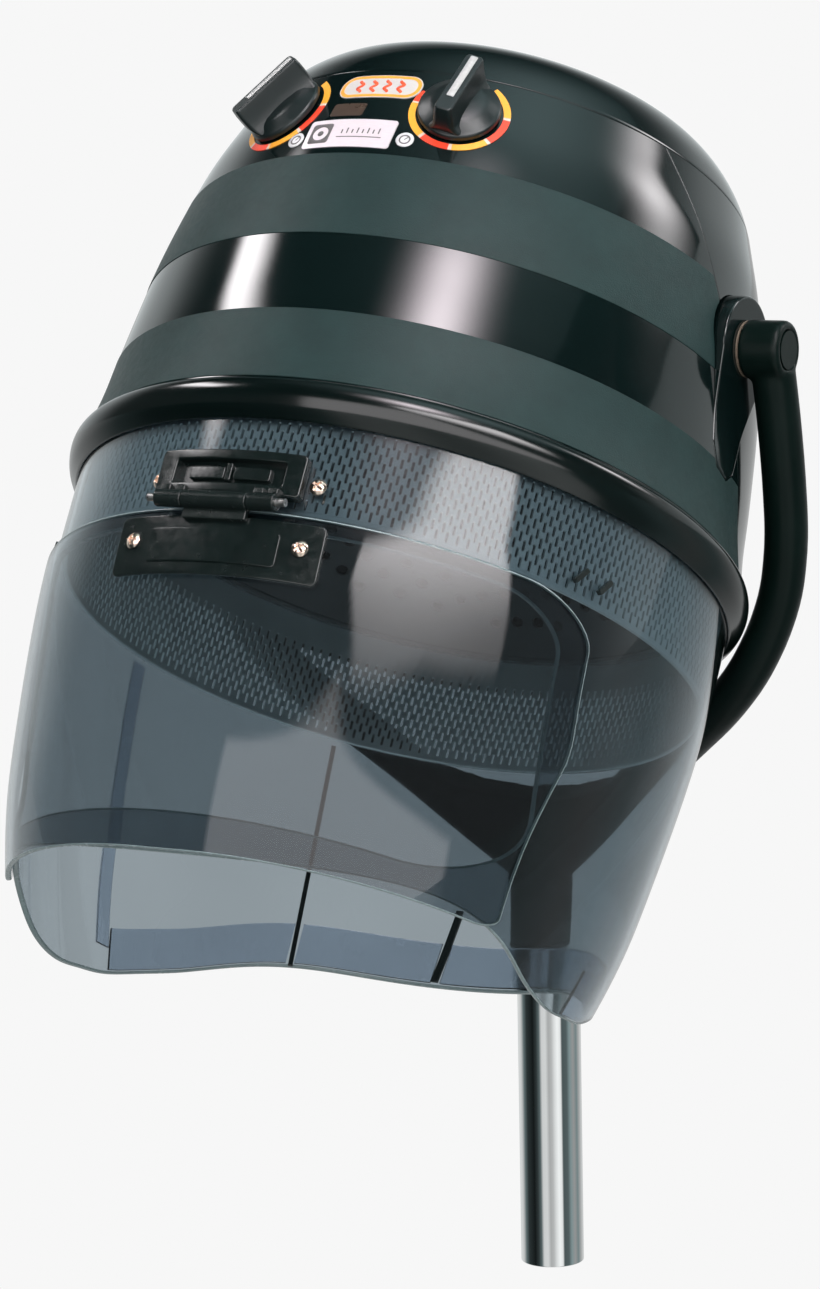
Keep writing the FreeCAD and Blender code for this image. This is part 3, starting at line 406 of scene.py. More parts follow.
def block(name, sx, sy, z0, z1, top=1.0, e=0.8, seg=3, matrix=None):
    """Bevelled block, narrower at the top by the factors top."""
    tx, ty = top if hasattr(top, "__len__") else (top, top)
    v = [(-sx / 2, -sy / 2, z0), (sx / 2, -sy / 2, z0), (sx / 2, sy / 2, z0), (-sx / 2, sy / 2, z0),
         (-sx / 2 * tx, -sy / 2 * ty, z1), (sx / 2 * tx, -sy / 2 * ty, z1), (sx / 2 * tx, sy / 2 * ty, z1), (-sx / 2 * tx, sy / 2 * ty, z1)]
    if matrix is not None:
        v = [matrix @ Vector(q) for q in v]
    f = [(3, 2, 1, 0), (4, 5, 6, 7), (0, 1, 5, 4), (1, 2, 6, 5), (2, 3, 7, 6), (3, 0, 4, 7)]
    ob = add_mesh(name, v, f)
    bevel(ob, e, seg)
    return bake_modifiers(ob)


# ------------------------------------------------------------------ materials
def tree_of(name):
    m = bpy.data.materials.new(name)
    m.use_nodes = True
    nt = m.node_tree
    nt.nodes.clear()
    out = nt.nodes.new("ShaderNodeOutputMaterial")
    return m, nt, out


def node(nt, kind, **values):
    n = nt.nodes.new(kind)
    for k, v in values.items():
        if k.startswith("in_"):
            n.inputs[k[3:].replace("_", " ")].default_value = v
        else:
            setattr(n, k, v)
    return n


def grain(nt, scale, detail=3.0, rough=0.55, stretch=None):
    tc = node(nt, "ShaderNodeTexCoord")
    src = tc.outputs["Object"]
    if stretch:
        mp = node(nt, "ShaderNodeMapping")
        mp.inputs["Scale"].default_value = stretch
        nt.links.new(src, mp.inputs["Vector"])
        src = mp.outputs["Vector"]
    n = node(nt, "ShaderNodeTexNoise", in_Scale=scale, in_Detail=detail, in_Roughness=rough)
    nt.links.new(src, n.inputs["Vector"])
    return n.outputs["Fac"]


def mapped(nt, src, lo, hi, a=0.3, b=0.7):
    m = node(nt, "ShaderNodeMapRange")
    m.inputs["From Min"].default_value, m.inputs["From Max"].default_value = a, b
    m.inputs["To Min"].default_value, m.inputs["To Max"].default_value = lo, hi
    nt.links.new(src, m.inputs["Value"])
    return m.outputs["Result"]


def tinted(nt, src, ca, cb, a=0.3, b=0.7):
    r = node(nt, "ShaderNodeValToRGB")
    r.color_ramp.elements[0].position, r.color_ramp.elements[1].position = a, b
    r.color_ramp.elements[0].color, r.color_ramp.elements[1].color = (*ca, 1), (*cb, 1)
    nt.links.new(src, r.inputs["Fac"])
    return r.outputs["Color"]


def plastic(name, color, rough, var=0.12, vscale=30.0, rvar=0.04, rscale=60.0, bump=0.0, bscale=2500.0, bdist=0.0002,
            metal=0.0, coat=0.0, coat_rough=0.05, spec=0.5, ior=1.5, stretch=None, edge=0.0, edge_highlight_color=(0.2, 0.2, 0.2)):
    m, nt, out = tree_of(name)
    b = node(nt, "ShaderNodeBsdfPrincipled")
    b.inputs["Metallic"].default_value = metal
    b.inputs["Coat Weight"].default_value = coat
    b.inputs["Coat Roughness"].default_value = coat_rough
    b.inputs["Specular IOR Level"].default_value = spec
    b.inputs["IOR"].default_value = ior
    c = np.array(color, float)
    col = tinted(nt, grain(nt, vscale, 4.0, stretch=stretch), tuple(c * (1 - var)), tuple(np.minimum(c * (1 + var), 1)))
    # painted highlight: convex edges, found by pointiness, are mixed toward a paler colour that stands for light caught
    # on the bevels
    if edge > 0:
        g = node(nt, "ShaderNodeNewGeometry")
        k = mapped(nt, g.outputs["Pointiness"], 0.0, edge, 0.52, 0.62)
        mx = node(nt, "ShaderNodeMix", data_type="RGBA")
        nt.links.new(k, mx.inputs[0])
        nt.links.new(col, mx.inputs[6])
        mx.inputs[7].default_value = (*edge_highlight_color, 1)
        col = mx.outputs[2]
    nt.links.new(col, b.inputs["Base Color"])
    nt.links.new(mapped(nt, grain(nt, rscale, 5.0, stretch=stretch), max(rough - rvar, 0.01), rough + rvar), b.inputs["Roughness"])
    if bump:
        bp = node(nt, "ShaderNodeBump")
        bp.inputs["Strength"].default_value = bump
        bp.inputs["Distance"].default_value = bdist
        nt.links.new(grain(nt, bscale, 2.0, stretch=stretch), bp.inputs["Height"])
        nt.links.new(bp.outputs["Normal"], b.inputs["Normal"])
    nt.links.new(b.outputs[0], out.inputs["Surface"])
    return m


def smoked(name, color, rough=0.02, ior=1.42, clear=(0.36, 0.42, 0.44)):
    """Smoked clear plastic; lamps reach what is behind it through a tinted clear shader."""
    m, nt, out = tree_of(name)
    b = node(nt, "ShaderNodeBsdfPrincipled")
    b.inputs["Transmission Weight"].default_value = 1.0
    b.inputs["IOR"].default_value = ior
    c = np.array(color, float)
    nt.links.new(tinted(nt, grain(nt, 9.0, 2.0), tuple(c * 0.96), tuple(c * 1.03)), b.inputs["Base Color"])
    nt.links.new(mapped(nt, grain(nt, 55.0, 5.0), rough * 0.4, rough * 1.6), b.inputs["Roughness"])
    t = node(nt, "ShaderNodeBsdfTransparent")
    t.inputs["Color"].default_value = (*clear, 1)
    lp = node(nt, "ShaderNodeLightPath")
    mx = node(nt, "ShaderNodeMixShader")
    nt.links.new(lp.outputs["Is Shadow Ray"], mx.inputs["Fac"])
    nt.links.new(b.outputs[0], mx.inputs[1])
    nt.links.new(t.outputs[0], mx.inputs[2])
    nt.links.new(mx.outputs[0], out.inputs["Surface"])
    return m


def scale_paint(name):
    """Red and yellow dial segments with pale gaps, by angle about the dial's own axis."""
    m, nt, out = tree_of(name)
    b = node(nt, "ShaderNodeBsdfPrincipled")
    tc = node(nt, "ShaderNodeTexCoord")
    sp = node(nt, "ShaderNodeSeparateXYZ")
    nt.links.new(tc.outputs["Object"], sp.inputs[0])
    at = node(nt, "ShaderNodeMath", operation="ARCTAN2")
    nt.links.new(sp.outputs["Y"], at.inputs[0])
    nt.links.new(sp.outputs["X"], at.inputs[1])
    # degrees 57 down to -210 as 0..1
    deg = node(nt, "ShaderNodeMath", operation="MULTIPLY")
    deg.inputs[1].default_value = -180 / math.pi
    nt.links.new(at.outputs[0], deg.inputs[0])
    sh = node(nt, "ShaderNodeMath", operation="ADD")
    sh.inputs[1].default_value = 57.0 + 360.0
    nt.links.new(deg.outputs[0], sh.inputs[0])
    wr = node(nt, "ShaderNodeMath", operation="MODULO")
    wr.inputs[1].default_value = 360.0
    nt.links.new(sh.outputs[0], wr.inputs[0])
    un = node(nt, "ShaderNodeMath", operation="DIVIDE")
    un.inputs[1].default_value = 360.0
    nt.links.new(wr.outputs[0], un.inputs[0])
    ramp = node(nt, "ShaderNodeValToRGB")
    cr = ramp.color_ramp
    cr.interpolation = "CONSTANT"
    yel, red, pale = (0.92, 0.40, 0.035), (0.86, 0.060, 0.022), (0.66, 0.55, 0.48)
    stops = [(57, yel), (8, pale), (4, red), (-38, pale), (-42, yel), (-85, pale), (-89, red), (-125, pale),
             (-129, yel), (-187, pale), (-190, red)]
    cr.elements[0].position, cr.elements[0].color = 0.0, (*yel, 1)
    cr.elements[1].position, cr.elements[1].color = (57 - 8) / 360, (*pale, 1)
    for d, c in stops[2:]:
        el = cr.elements.new((57 - d) / 360)
        el.color = (*c, 1)
    nt.links.new(un.outputs[0], ramp.inputs["Fac"])
    mx = node(nt, "ShaderNodeMix", data_type="RGBA", blend_type="MULTIPLY")
    mx.inputs[0].default_value = 1.0
    nt.links.new(ramp.outputs["Color"], mx.inputs[6])
    nt.links.new(tinted(nt, grain(nt, 900.0, 3.0), (0.90, 0.90, 0.90), (1.0, 1.0, 1.0)), mx.inputs[7])
    nt.links.new(mx.outputs[2], b.inputs["Base Color"])
    nt.links.new(mapped(nt, grain(nt, 700.0), 0.34, 0.46), b.inputs["Roughness"])
    nt.links.new(b.outputs[0], out.inputs["Surface"])
    return m


M = {
    "gloss_black": plastic("gloss_black_shell", (0.0022, 0.0062, 0.0060), 0.085, 0.15, 14, 0.02, 35, bump=0.012, bscale=300, bdist=0.0004),
    "ring_black": plastic("gloss_black_ring", (0.0014, 0.0042, 0.0038), 0.15, 0.15, 20, 0.03, 50, bump=0.01, bscale=400, bdist=0.0004),
    "band_matte": plastic("grained_band", (0.0105, 0.0275, 0.0265), 0.48, 0.12, 60, 0.05, 300, bump=0.6, bscale=1500, bdist=0.00025, spec=0.20),
    "yoke_black": plastic("yoke_coat", (0.0014, 0.0056, 0.0045), 0.36, 0.15, 40, 0.06, 160, bump=0.10, bscale=900, bdist=0.00025, spec=0.14),
    "smoke_clear": smoked("smoked_plastic", (0.310, 0.362, 0.392)),
    "visor_clear": smoked("smoked_visor_plastic", (0.310, 0.362, 0.392)),
    "diffuser_smoke": plastic("diffuser_plastic", (0.84, 0.93, 0.94), 0.46, 0.08, 30, 0.05, 120, metal=0.90, bump=0.05, bscale=1200),
    # paler opaque colour on the rounded rims of the clear parts: a painted highlight for the light the rims catch
    "smoke_edge_highlight": plastic("smoked_edge_painted_highlight", (0.17, 0.225, 0.23), 0.25, 0.08, 60, 0.05, 200),
    "rib_black": plastic("rib_black", (0.004, 0.008, 0.008), 0.35, 0.15, 60, 0.05, 200),
    "hem_clear": smoked("smoked_hem", (0.55, 0.62, 0.72), clear=(0.55, 0.62, 0.72)),
    "inner_dome": plastic("inner_dome_plastic", (0.045, 0.060, 0.062), 0.35, 0.10, 30, 0.06, 120, bump=0.05, bscale=1200),
    # hinge_satin: the paler convex edges are a painted highlight of light on the block's bevels
    "hinge_black": plastic("hinge_satin", (0.004, 0.008, 0.0075), 0.22, 0.2, 80, 0.06, 250, bump=0.06, bscale=1400, edge=0.3, edge_highlight_color=(0.03, 0.035, 0.033)),
    "screw_brass": plastic("screw_plating", (0.82, 0.66, 0.55), 0.20, 0.10, 300, 0.08, 900, metal=1.0),
    # knob_plastic: the paler convex edges are a painted highlight of light on the grip bar's edges
    "knob_black": plastic("knob_plastic", (0.004, 0.009, 0.009), 0.34, 0.15, 80, 0.05, 300, bump=0.12, bscale=2200, edge=0.25, edge_highlight_color=(0.04, 0.05, 0.05)),
    "pointer_white": plastic("pointer_paint", (0.42, 0.43, 0.42), 0.40, 0.08, 500, 0.05, 800, bump=0.05),
    "scale_print": scale_paint("scale_paint"),
    "label_silver": plastic("label_print", (0.66, 0.60, 0.63), 0.38, 0.06, 260, 0.06, 500, metal=0.15, stretch=(1, 12, 1)),
    "label_ink": plastic("label_ink", (0.09, 0.085, 0.085), 0.5, 0.1, 400, 0.05),
    "label_pale": plastic("icon_paint", (0.62, 0.62, 0.63), 0.42, 0.08, 400, 0.05),
    "lamp_brown": plastic("lamp_window", (0.050, 0.034, 0.024), 0.30, 0.15, 200, 0.05, coat=0.2),
    "badge_plate": plastic("badge_plate", (0.60, 0.58, 0.56), 0.35, 0.06, 260, 0.05, 600, metal=0.2, stretch=(1, 10, 1)),
    "badge_warm": plastic("badge_warm", (0.85, 0.34, 0.035), 0.42, 0.08, 400, 0.05),
    "badge_red": plastic("badge_red", (0.82, 0.085, 0.02), 0.42, 0.08, 400, 0.05),
    "chrome": plastic("chrome_plate", (0.86, 0.86, 0.86), 0.02, 0.02, 40, 0.008, 60, metal=1.0),
    "steel": plastic("zinc_steel", (0.50, 0.50, 0.49), 0.32, 0.12, 120, 0.10, 400, metal=1.0, bump=0.06),
    "steel_sheet": plastic("sheet_steel", (0.48, 0.49, 0.50), 0.36, 0.15, 60, 0.10, 200, metal=1.0, bump=0.06),
    "motor_steel": plastic("motor_lacquer", (0.30, 0.31, 0.32), 0.34, 0.12, 60, 0.08, 200, metal=0.9),
    "nylon_black": plastic("nylon", (0.018, 0.019, 0.019), 0.45, 0.12, 100, 0.06, bump=0.1),
    "fibre": plastic("friction_fibre", (0.11, 0.085, 0.06), 0.75, 0.25, 900, 0.08, bump=0.3, bscale=3000),
    "rubber": plastic("gasket_rubber", (0.012, 0.013, 0.013), 0.62, 0.15, 200, 0.06, bump=0.1),
    "case_white": plastic("case_plastic", (0.55, 0.54, 0.50), 0.42, 0.06, 120, 0.05, bump=0.08),
    "fan_alu": plastic("pressed_alu", (0.60, 0.61, 0.62), 0.30, 0.10, 90, 0.08, 300, metal=1.0),
    "baffle_black": plastic("baffle_plastic", (0.022, 0.024, 0.024), 0.45, 0.12, 60, 0.06, bump=0.1),
    "mica": plastic("mica_sheet", (0.36, 0.29, 0.18), 0.38, 0.30, 220, 0.12, 300, bump=0.1, stretch=(1, 1, 3)),
    "heater_wire": plastic("coiled_wire", (0.30, 0.25, 0.21), 0.40, 0.25, 1200, 0.10, metal=1.0, bump=0.6, bscale=1800, bdist=0.0006),
    "lead_black": plastic("lead_sleeve", (0.016, 0.017, 0.017), 0.5, 0.15, 200, 0.06, bump=0.1),
    "scale_plain": plastic("scale_base", (0.05, 0.05, 0.05), 0.45, 0.1, 200, 0.05),
}


# ------------------------------------------------------------------ shell of the hood
def seam_y(z):
    return -13.7 - 0.54 * z


def theta_of(y, z, surf=DOME):
    return np.arccos(np.clip(-np.asarray(y, float) / surf.r(z), -1, 1))


A_CIRC = 144.9
ARC_FRONT = [(27 * math.cos(math.radians(a)), 27 * math.sin(math.radians(a))) for a in np.linspace(200, A_CIRC, 14)]
ARC_REAR = [(27 * math.cos(math.radians(a)), 27 * math.sin(math.radians(a))) for a in np.linspace(-20, A_CIRC, 34)]
TAIL = [(11.0, -66.0), (3.0, -72.0), (-9.0, -70.0), (-16.0, -60.0)]
JOIN_B = (14.5, -52.2)


def side_path(front):
    """The seam on the +X side from the bottom to the top, as (y, z)."""
    pts = [(seam_y(z), z) for z in np.linspace(-108, JOIN_B[1], 20)]
    if front:
        pts += TAIL + ARC_FRONT
    else:
        pts += ARC_REAR
    pts += [(seam_y(z), z) for z in np.linspace(ARC_FRONT[-1][1] + 0.5, 84, 24)]
    return np.array(pts)


def front_loop():
    p = side_path(True)
    th = theta_of(p[:, 0], p[:, 1])
    right = np.stack([th, p[:, 1]], 1)
    left = np.stack([-th, p[:, 1]], 1)[::-1]
    return np.concatenate([right, left])


def rear_loop():
    p = side_path(False)
    th = theta_of(p[:, 0], p[:, 1])
    left_edge = np.stack([th, p[:, 1]], 1)[::-1]
    right_edge = np.stack([2 * math.pi - th, p[:, 1]], 1)
    return np.concatenate([left_edge, right_edge])


def slot_loop(th0, zc, w, h, r, n=6):
    """Clockwise rounded slot on the dome."""
    rr = float(DOME.r(zc)[0])
    p = rounded([(-w / 2, -h / 2), (w / 2, -h / 2), (w / 2, h / 2), (-w / 2, h / 2)], r, n)[::-1]
    return np.stack([th0 + p[:, 0] / rr, zc + p[:, 1]], 1)


ob = skin("shell_front", DOME, [front_loop()], -2.5, 0.0, 0.45, 3.0)
place(ob, M["gloss_black"], "hood_head", stands_for=("front_shell",))
vents = [slot_loop(math.pi + math.radians(4.2 * i), 55.0, 4.5, 34.0, 2.2) for i in range(-4, 5)]
ob = skin("shell_rear", DOME, [rear_loop()] + vents, -2.5, 0.0, 0.45, 3.0)
place(ob, M["gloss_black"], "hood_head", stands_for=("rear_shell",))

# top cap: turned, with a rounded lower rim that makes a groove with the shells
cap = path_spline([(r, z) for z, r in CAP_T], 60)
t = np.gradient(cap, axis=0)
nn = np.stack([-t[:, 1], t[:, 0]], 1)
nn /= np.linalg.norm(nn, axis=1, keepdims=True)
if nn[0, 0] < 0:
    nn = -nn
inner = (cap - nn * 2.5)[::-1]
inner[0, 0] = 0.0
cap[-1, 0] = 0.0
prof = [tuple(q) for q in inner] + [(cap[0, 0] - 1.3, 84.05), (cap[0, 0] - 0.65, 84.15), (cap[0, 0] - 0.25, 84.45)] + \
    [tuple(q) for q in cap if q[1] > 84.9]
ob = lathe("cap_top", prof, 256, closed=False)
weighted(ob)
place(ob, M["gloss_black"], "hood_head", stands_for=("top_cap",))


# matte bands stand a little proud of the gloss shell
def band_loop(lo, hi):
    zs = np.linspace(lo, hi, 30)
    ys = []
    for z in zs:
        y = seam_y(z) - 1.2
        if -9.2 <= z < 27:
            y = min(y, -math.sqrt(27.0 ** 2 - z * z) - 0.5)
        elif -60 < z < -9.2:
            y = min(y, -25.9 + 9.4 * (-9.2 - z) / 50.8)
        ys.append(y)
    right = [(y, z) for y, z in zip(ys, zs)]
    if lo < -100:
        right = right[:-1] + [(seam_y(hi) - 1.2, hi), (10.2, hi), (3.4, -72.9), (-9.6, -70.8), (-12.4, hi)]
    p = np.array(right)
    th = theta_of(p[:, 0], p[:, 1])
    return np.concatenate([np.stack([th, p[:, 1]], 1), np.stack([-th, p[:, 1]], 1)[::-1]])


for nm, lo, hi in (("upper", -22.8, 26.5), ("lower", -107.0, -67.2)):
    ob = skin("band_" + nm, DOME, [band_loop(lo, hi)], -0.7, 0.35, 0.3, 3.0)
    place(ob, M["band_matte"], "hood_head", stands_for=(nm + "_band",))


# pivot bosses: a flat pad that runs out into the dome
def boss(side):
    out = [(27 * math.cos(math.radians(a)), 27 * math.sin(math.radians(a))) for a in np.linspace(-20, 200, 56)]
    tail = rounded([(-25.37, -9.23), (-16, -60), (-9, -70), (3, -72), (11, -66), (25.37, -9.23)], [0, 8, 6, 6, 8, 0], 6)
    lp = resample(np.array(out + [tuple(q) for q in tail[1:-1]]), np.array([1.0, 1.0]), 1.2)
    n = len(lp)
    tt = np.roll(lp, -1, axis=0) - np.roll(lp, 1, axis=0)
    tt /= np.linalg.norm(tt, axis=1, keepdims=True)
    b = np.stack([-tt[:, 1], tt[:, 0]], 1)
    e = 1.1

    def height(p):
        r, _ = DOME.f.both(p[:, 1])
        dome = np.sqrt(np.maximum((r + 0.3) ** 2 - p[:, 0] ** 2, 1.0))
        return 0.5 * (166.0 + dome + np.sqrt((dome - 166.0) ** 2 + 0.6))
    rows = [lp + b * e * (1 - math.sin(f)) for f in PHI]
    hs = [height(rows[k]) - e * (1 - math.cos(f)) for k, f in enumerate(PHI)]
    gy, gz = np.meshgrid(np.arange(-27, 27.5, 1.8), np.arange(-72, 27.5, 1.8))
    g2 = np.stack([gy.ravel(), gz.ravel()], 1)
    g2 = g2[inside(g2, [rows[0]])]
    tree = kdtree.KDTree(n)
    for i, q in enumerate(rows[0]):
        tree.insert((q[0], q[1], 0), i)
    tree.balance()
    g2 = g2[np.array([tree.find((q[0], q[1], 0))[2] > 0.8 for q in g2])]
    tri = triangles([rows[0]], g2)
    gh = height(g2)
    verts = [np.c_[rows[0], hs[0]], np.c_[g2, gh]]
    for k in range(1, len(PHI)):
        verts.append(np.c_[rows[k], hs[k]])
    base = np.c_[rows[-1], np.full(n, 150.0)]
    verts.append(base)
    v = np.concatenate(verts)
    v = np.stack([v[:, 2] * side, v[:, 0], v[:, 1]], 1)
    f = [tuple(q) for q in tri]
    starts = [0] + [n + len(g2) + n * k for k in range(len(PHI))]
    for p, q in zip(starts, starts[1:]):
        for i in range(n):
            j = (i + 1) % n
            f.append((q + i, q + j, p + j, p + i))
    f.append(tuple(range(starts[-1] + n - 1, starts[-1] - 1, -1)))
    ob = recalc(add_mesh("boss_" + ("right" if side > 0 else "left"), v, f))
    weighted(ob)
    place(ob, M["gloss_black"], "hood_head", stands_for=("pivot_boss_" + ("right" if side > 0 else "left"),))


boss(1)
boss(-1)

# bead ring
bead = path_spline([(174.9, -108), (177.6, -109.6), (179.4, -112.2), (180, -115.5), (179.5, -119.5), (178, -123.5), (175.4, -127), (173.6, -129.0)], 40)
prof = [(166.0, -108.0), (170.0, -108.0), (174.0, -107.85)] + [tuple(q) for q in bead] + \
    [(173.2, -129.25), (172.7, -129.3), (172.2, -129.1), (172.1, -128.6), (172.1, -110.0), (166.0, -110.0)]
ob = lathe("ring_bead", prof, 320)
weighted(ob)
place(ob, M["ring_black"], "hood_head", stands_for=("bead_ring",))

# ------------------------------------------------------------------ clear skirt and visor
EDGE = Spline([y for y, z in EDGE_T], [z for y, z in EDGE_T])


def bottom_z(th):
    z = np.full(len(th), -340.0)
    for _ in range(40):
        z = 0.5 * z + 0.5 * EDGE(np.clip(-SKIRT.r(z) * np.cos(th), -170, 199))
    return z


def front_theta(p, off=0.0):
    r = SKIRT.r(p[:, 1]) + off
    return np.stack([np.arcsin(np.clip(p[:, 0] / r, -1, 1)), p[:, 1]], 1)


ths = np.linspace(0, 2 * math.pi, 640, endpoint=False)
top = np.stack([ths[::-1], np.full(640, -112.0)], 1)
low = np.stack([ths, bottom_z(ths)], 1)
win = rounded([(-147, -186), (147, -186), (144, -326), (-144, -326)], [22, 22, 42, 42], 16)
win = front_theta(resample(win, np.array([1.0, 1.0]), 2.0), -1.5)
hole_screws = []
for sx in (-44.5, 44.5):
    c = front_theta(np.array([[sx, -161.6]]))[0]
    a = np.linspace(0, 2 * math.pi, 20, endpoint=False)[::-1]
    hole_screws.append(np.stack([c[0] + 2.1 * np.cos(a) / 171.8, c[1] + 2.1 * np.sin(a)], 1))
ob = skin("skirt_clear", SKIRT, [low, top, win] + hole_screws, -3.0, 0.0, 1.0, 4.0, ring=True, edge_mat=True)
place(ob, M["smoke_clear"], "hood_head", stands_for=("skirt",))

def strip_loop(th0, th1, w, z0, z1, n=24):
    """Narrow upright strip about the axis, leaning from th0 at the top to th1 at the bottom."""
    zs = np.linspace(z1, z0, n)
    mid = np.radians(th1 + (th0 - th1) * (zs - z1) / (z0 - z1))
    half = w / 2 / SKIRT.r(zs)
    return np.concatenate([np.stack([mid + half, zs], 1), np.stack([mid - half, zs], 1)[::-1]])


ribs = [skin("r1", SKIRT, [strip_loop(-145.2, -147.6, 2.6, -180.0, -311.0)], -5.0, -3.1, 0.5, 3.0, grid=1.5),
        skin("r2", SKIRT, [strip_loop(-178.0, -177.2, 4.2, -261.0, -304.0)], -5.2, -3.1, 0.6, 3.0, grid=1.5)]
ob = join("skirt_ribs_black", ribs)
place(weighted(ob), M["rib_black"], "hood_head", stands_for=("skirt_ribs",) if "skirt_ribs" in NODES else ())
trim = [skin("strip", SKIRT, [strip_loop(-101.6, -105.0, 9.4, -180.0, -338.0)], -4.4, -3.1, 0.4, 3.0, grid=2.0)]
for a0, a1 in ((97.0, 181.6), (183.7, 211.8), (213.4, 252.9)):
    th_h = np.radians(np.linspace(a0, a1, max(8, int((a1 - a0) * 0.9))))
    zb = bottom_z(th_h)
    trim.append(skin("hem", SKIRT, [np.concatenate([np.stack([th_h, zb + 1.4], 1), np.stack([th_h, zb + 25.0], 1)[::-1]])], -4.5, -3.1, 0.4, 4.0, grid=2.0))
ob = join("skirt_hem_clear", trim)
place(weighted(ob), M["hem_clear"], "hood_head", stands_for=("skirt_hem",) if "skirt_hem" in NODES else ())

vis = rounded([(158, -178.5), (-158, -178.5), (-156, -250), (-138.5, -341), (0, -344.5), (138.5, -341), (156, -250)],
              [22, 22, 120, 9, 400, 9, 120], 16)
vis = front_theta(resample(vis, np.array([1.0, 1.0]), 2.0), 2.3)
holes_low = []
for sx in (-45.0, 45.0):
    c = front_theta(np.array([[sx, -196.1]]), 2.3)[0]
    a = np.linspace(0, 2 * math.pi, 20, endpoint=False)[::-1]
    holes_low.append(np.stack([c[0] + 2.1 * np.cos(a) / 173.0, c[1] + 2.1 * np.sin(a)], 1))
ob = skin("visor_clear", SKIRT, [vis] + holes_low, 0.9, 3.8, 1.0, 4.0, edge_mat=True)
place(ob, M["visor_clear"], "visor_flap", stands_for=("visor",))


# ------------------------------------------------------------------ visor hinge
def rect(x0, x1, z0, z1, r, n=6):
    return rounded([(x0, z0), (x1, z0), (x1, z1), (x0, z1)], r, n)


def barrel_x(name, r, x0, x1, y, z, bore=0.0, e=0.6, seg=48):
    pr = [(r - e, x0), (r - e * 0.3, x0 + e * 0.3), (r, x0 + e), (r, x1 - e), (r - e * 0.3, x1 - e * 0.3), (r - e, x1)]
    if bore:
        pr = pr + [(bore, x1), (bore, x0)]
        ob = lathe(name, pr, seg, closed=True)
    else:
        ob = lathe(name, [(0, x0)] + pr + [(0, x1)], seg, closed=False)
    ob.data.transform(Matrix.Translation((0, y * MM, z * MM)) @ Matrix.Rotation(math.radians(90), 4, "Y"))
    return ob


HY, HZ = -180.9, -177.0
parts = [
    skin("h1", SKIRT, [front_theta(rect(-39, 39, -171.4, -149.0, 2.2)), front_theta(rect(-29.5, 29.5, -166.6, -154.2, 1.2)[::-1])], 0.08, 7.6, 0.9, 3.0, grid=1.2),
    skin("h2", SKIRT, [front_theta(rect(-31, 31, -168.0, -153.0, 1.0))], 0.08, 3.0, 0.4, 3.0, grid=1.5),
    skin("h3", SKIRT, [front_theta(rect(-22, -2.5, -163.8, -157.2, 1.0))], 2.8, 5.2, 0.7, 3.0, grid=1.0),
    skin("h4", SKIRT, [front_theta(rect(2.5, 22, -163.8, -157.2, 1.0))], 2.8, 5.2, 0.7, 3.0, grid=1.0),
    skin("h4b", SKIRT, [front_theta(rect(-1.6, 1.6, -165.0, -155.6, 0.8))], 2.8, 5.9, 0.6, 3.0, grid=0.8),
]
for x0, x1 in ((-33.5, -18.5), (18.5, 33.5)):
    parts.append(barrel_x("k", 4.5, x0, x1, HY, HZ))
    for cx in np.linspace(x0 + 3.4, x1 - 3.4, 2):
        parts.append(block("w", 5.6, 5.6, -177.0, -169.6, 1.0, 0.6, 2, Matrix.Translation((cx, -178.9, 0))))
ob = join("hinge_block_body", parts)
place(weighted(ob), M["hinge_black"], "hood_head", stands_for=("hinge_block",))

parts = [
    skin("l1", SKIRT, [front_theta(rect(-57, 57, -213.0, -183.2, 3.0), 5.0)] + [h.copy() for h in holes_low], 3.86, 6.24, 0.8, 3.0, grid=1.2),
    skin("l2", SKIRT, [front_theta(rect(-36, 36, -207.0, -190.0, 2.0), 5.0)], 5.9, 7.0, 0.5, 3.0, grid=1.5),
    barrel_x("k", 4.5, -18, 18, HY, HZ),
    block("w", 35.4, 3.4, -186.5, -177.0, 1.0, 0.6, 2, Matrix.Translation((0, -178.6, 0))),
]
ob = join("hinge_leaf_plate", parts)
place(weighted(ob), M["hinge_black"], "visor_flap", stands_for=("hinge_leaf",))


def cross_screw(name, x, z, r_face, depth, off):
    """Domed head with a cross recess and a shank."""
    pr = [(0, 2.42), (1.2, 2.34), (2.2, 2.05), (3.2, 1.48), (3.9, 0.85), (4.25, 0.32), (4.3, 0.12), (4.2, 0.0),
          (2.0, 0.0), (2.0, -depth + 0.4), (1.7, -depth), (0, -depth)]
    ob = lathe(name, pr, 40, closed=False)
    cut = block("cut", 5.0, 1.0, 0.9, 3.4, (1.1, 1.5), 0.1, 1)
    cut2 = block("cut2", 1.0, 5.0, 0.9, 3.4, (1.5, 1.1), 0.1, 1)
    for c in (cut, cut2):
        m = ob.modifiers.new("b", "BOOLEAN")
        m.object, m.operation, m.solver = c, "DIFFERENCE", "EXACT"
        bake_modifiers(ob)
        bpy.data.objects.remove(c)
    th = float(np.arcsin(x / SKIRT.r(z)[0]))
    er, et = Vector((math.sin(th), -math.cos(th), 0)), Vector((math.cos(th), math.sin(th), 0))
    rot = Matrix((et, Vector((0, 0, 1)), er)).transposed().to_4x4()
    spin = Matrix.Rotation(math.radians(20 + 37 * off), 4, "Z")
    ob.data.transform(Matrix.Translation(er * r_face * MM + Vector((0, 0, z * MM))) @ rot @ spin)
    return ob


ob = join("screws_upper", [cross_screw("s", sx, -161.6, 171.9, 11.0, i) for i, sx in enumerate((-44.5, 44.5))])
place(weighted(ob), M["screw_brass"], "hood_head", stands_for=("hinge_screws_upper",))
ob = join("screws_lower", [cross_screw("s", sx, -196.1, 177.35, 9.0, i + 2) for i, sx in enumerate((-45.0, 45.0))])
place(weighted(ob), M["screw_brass"], "visor_flap", stands_for=("hinge_screws_lower",))


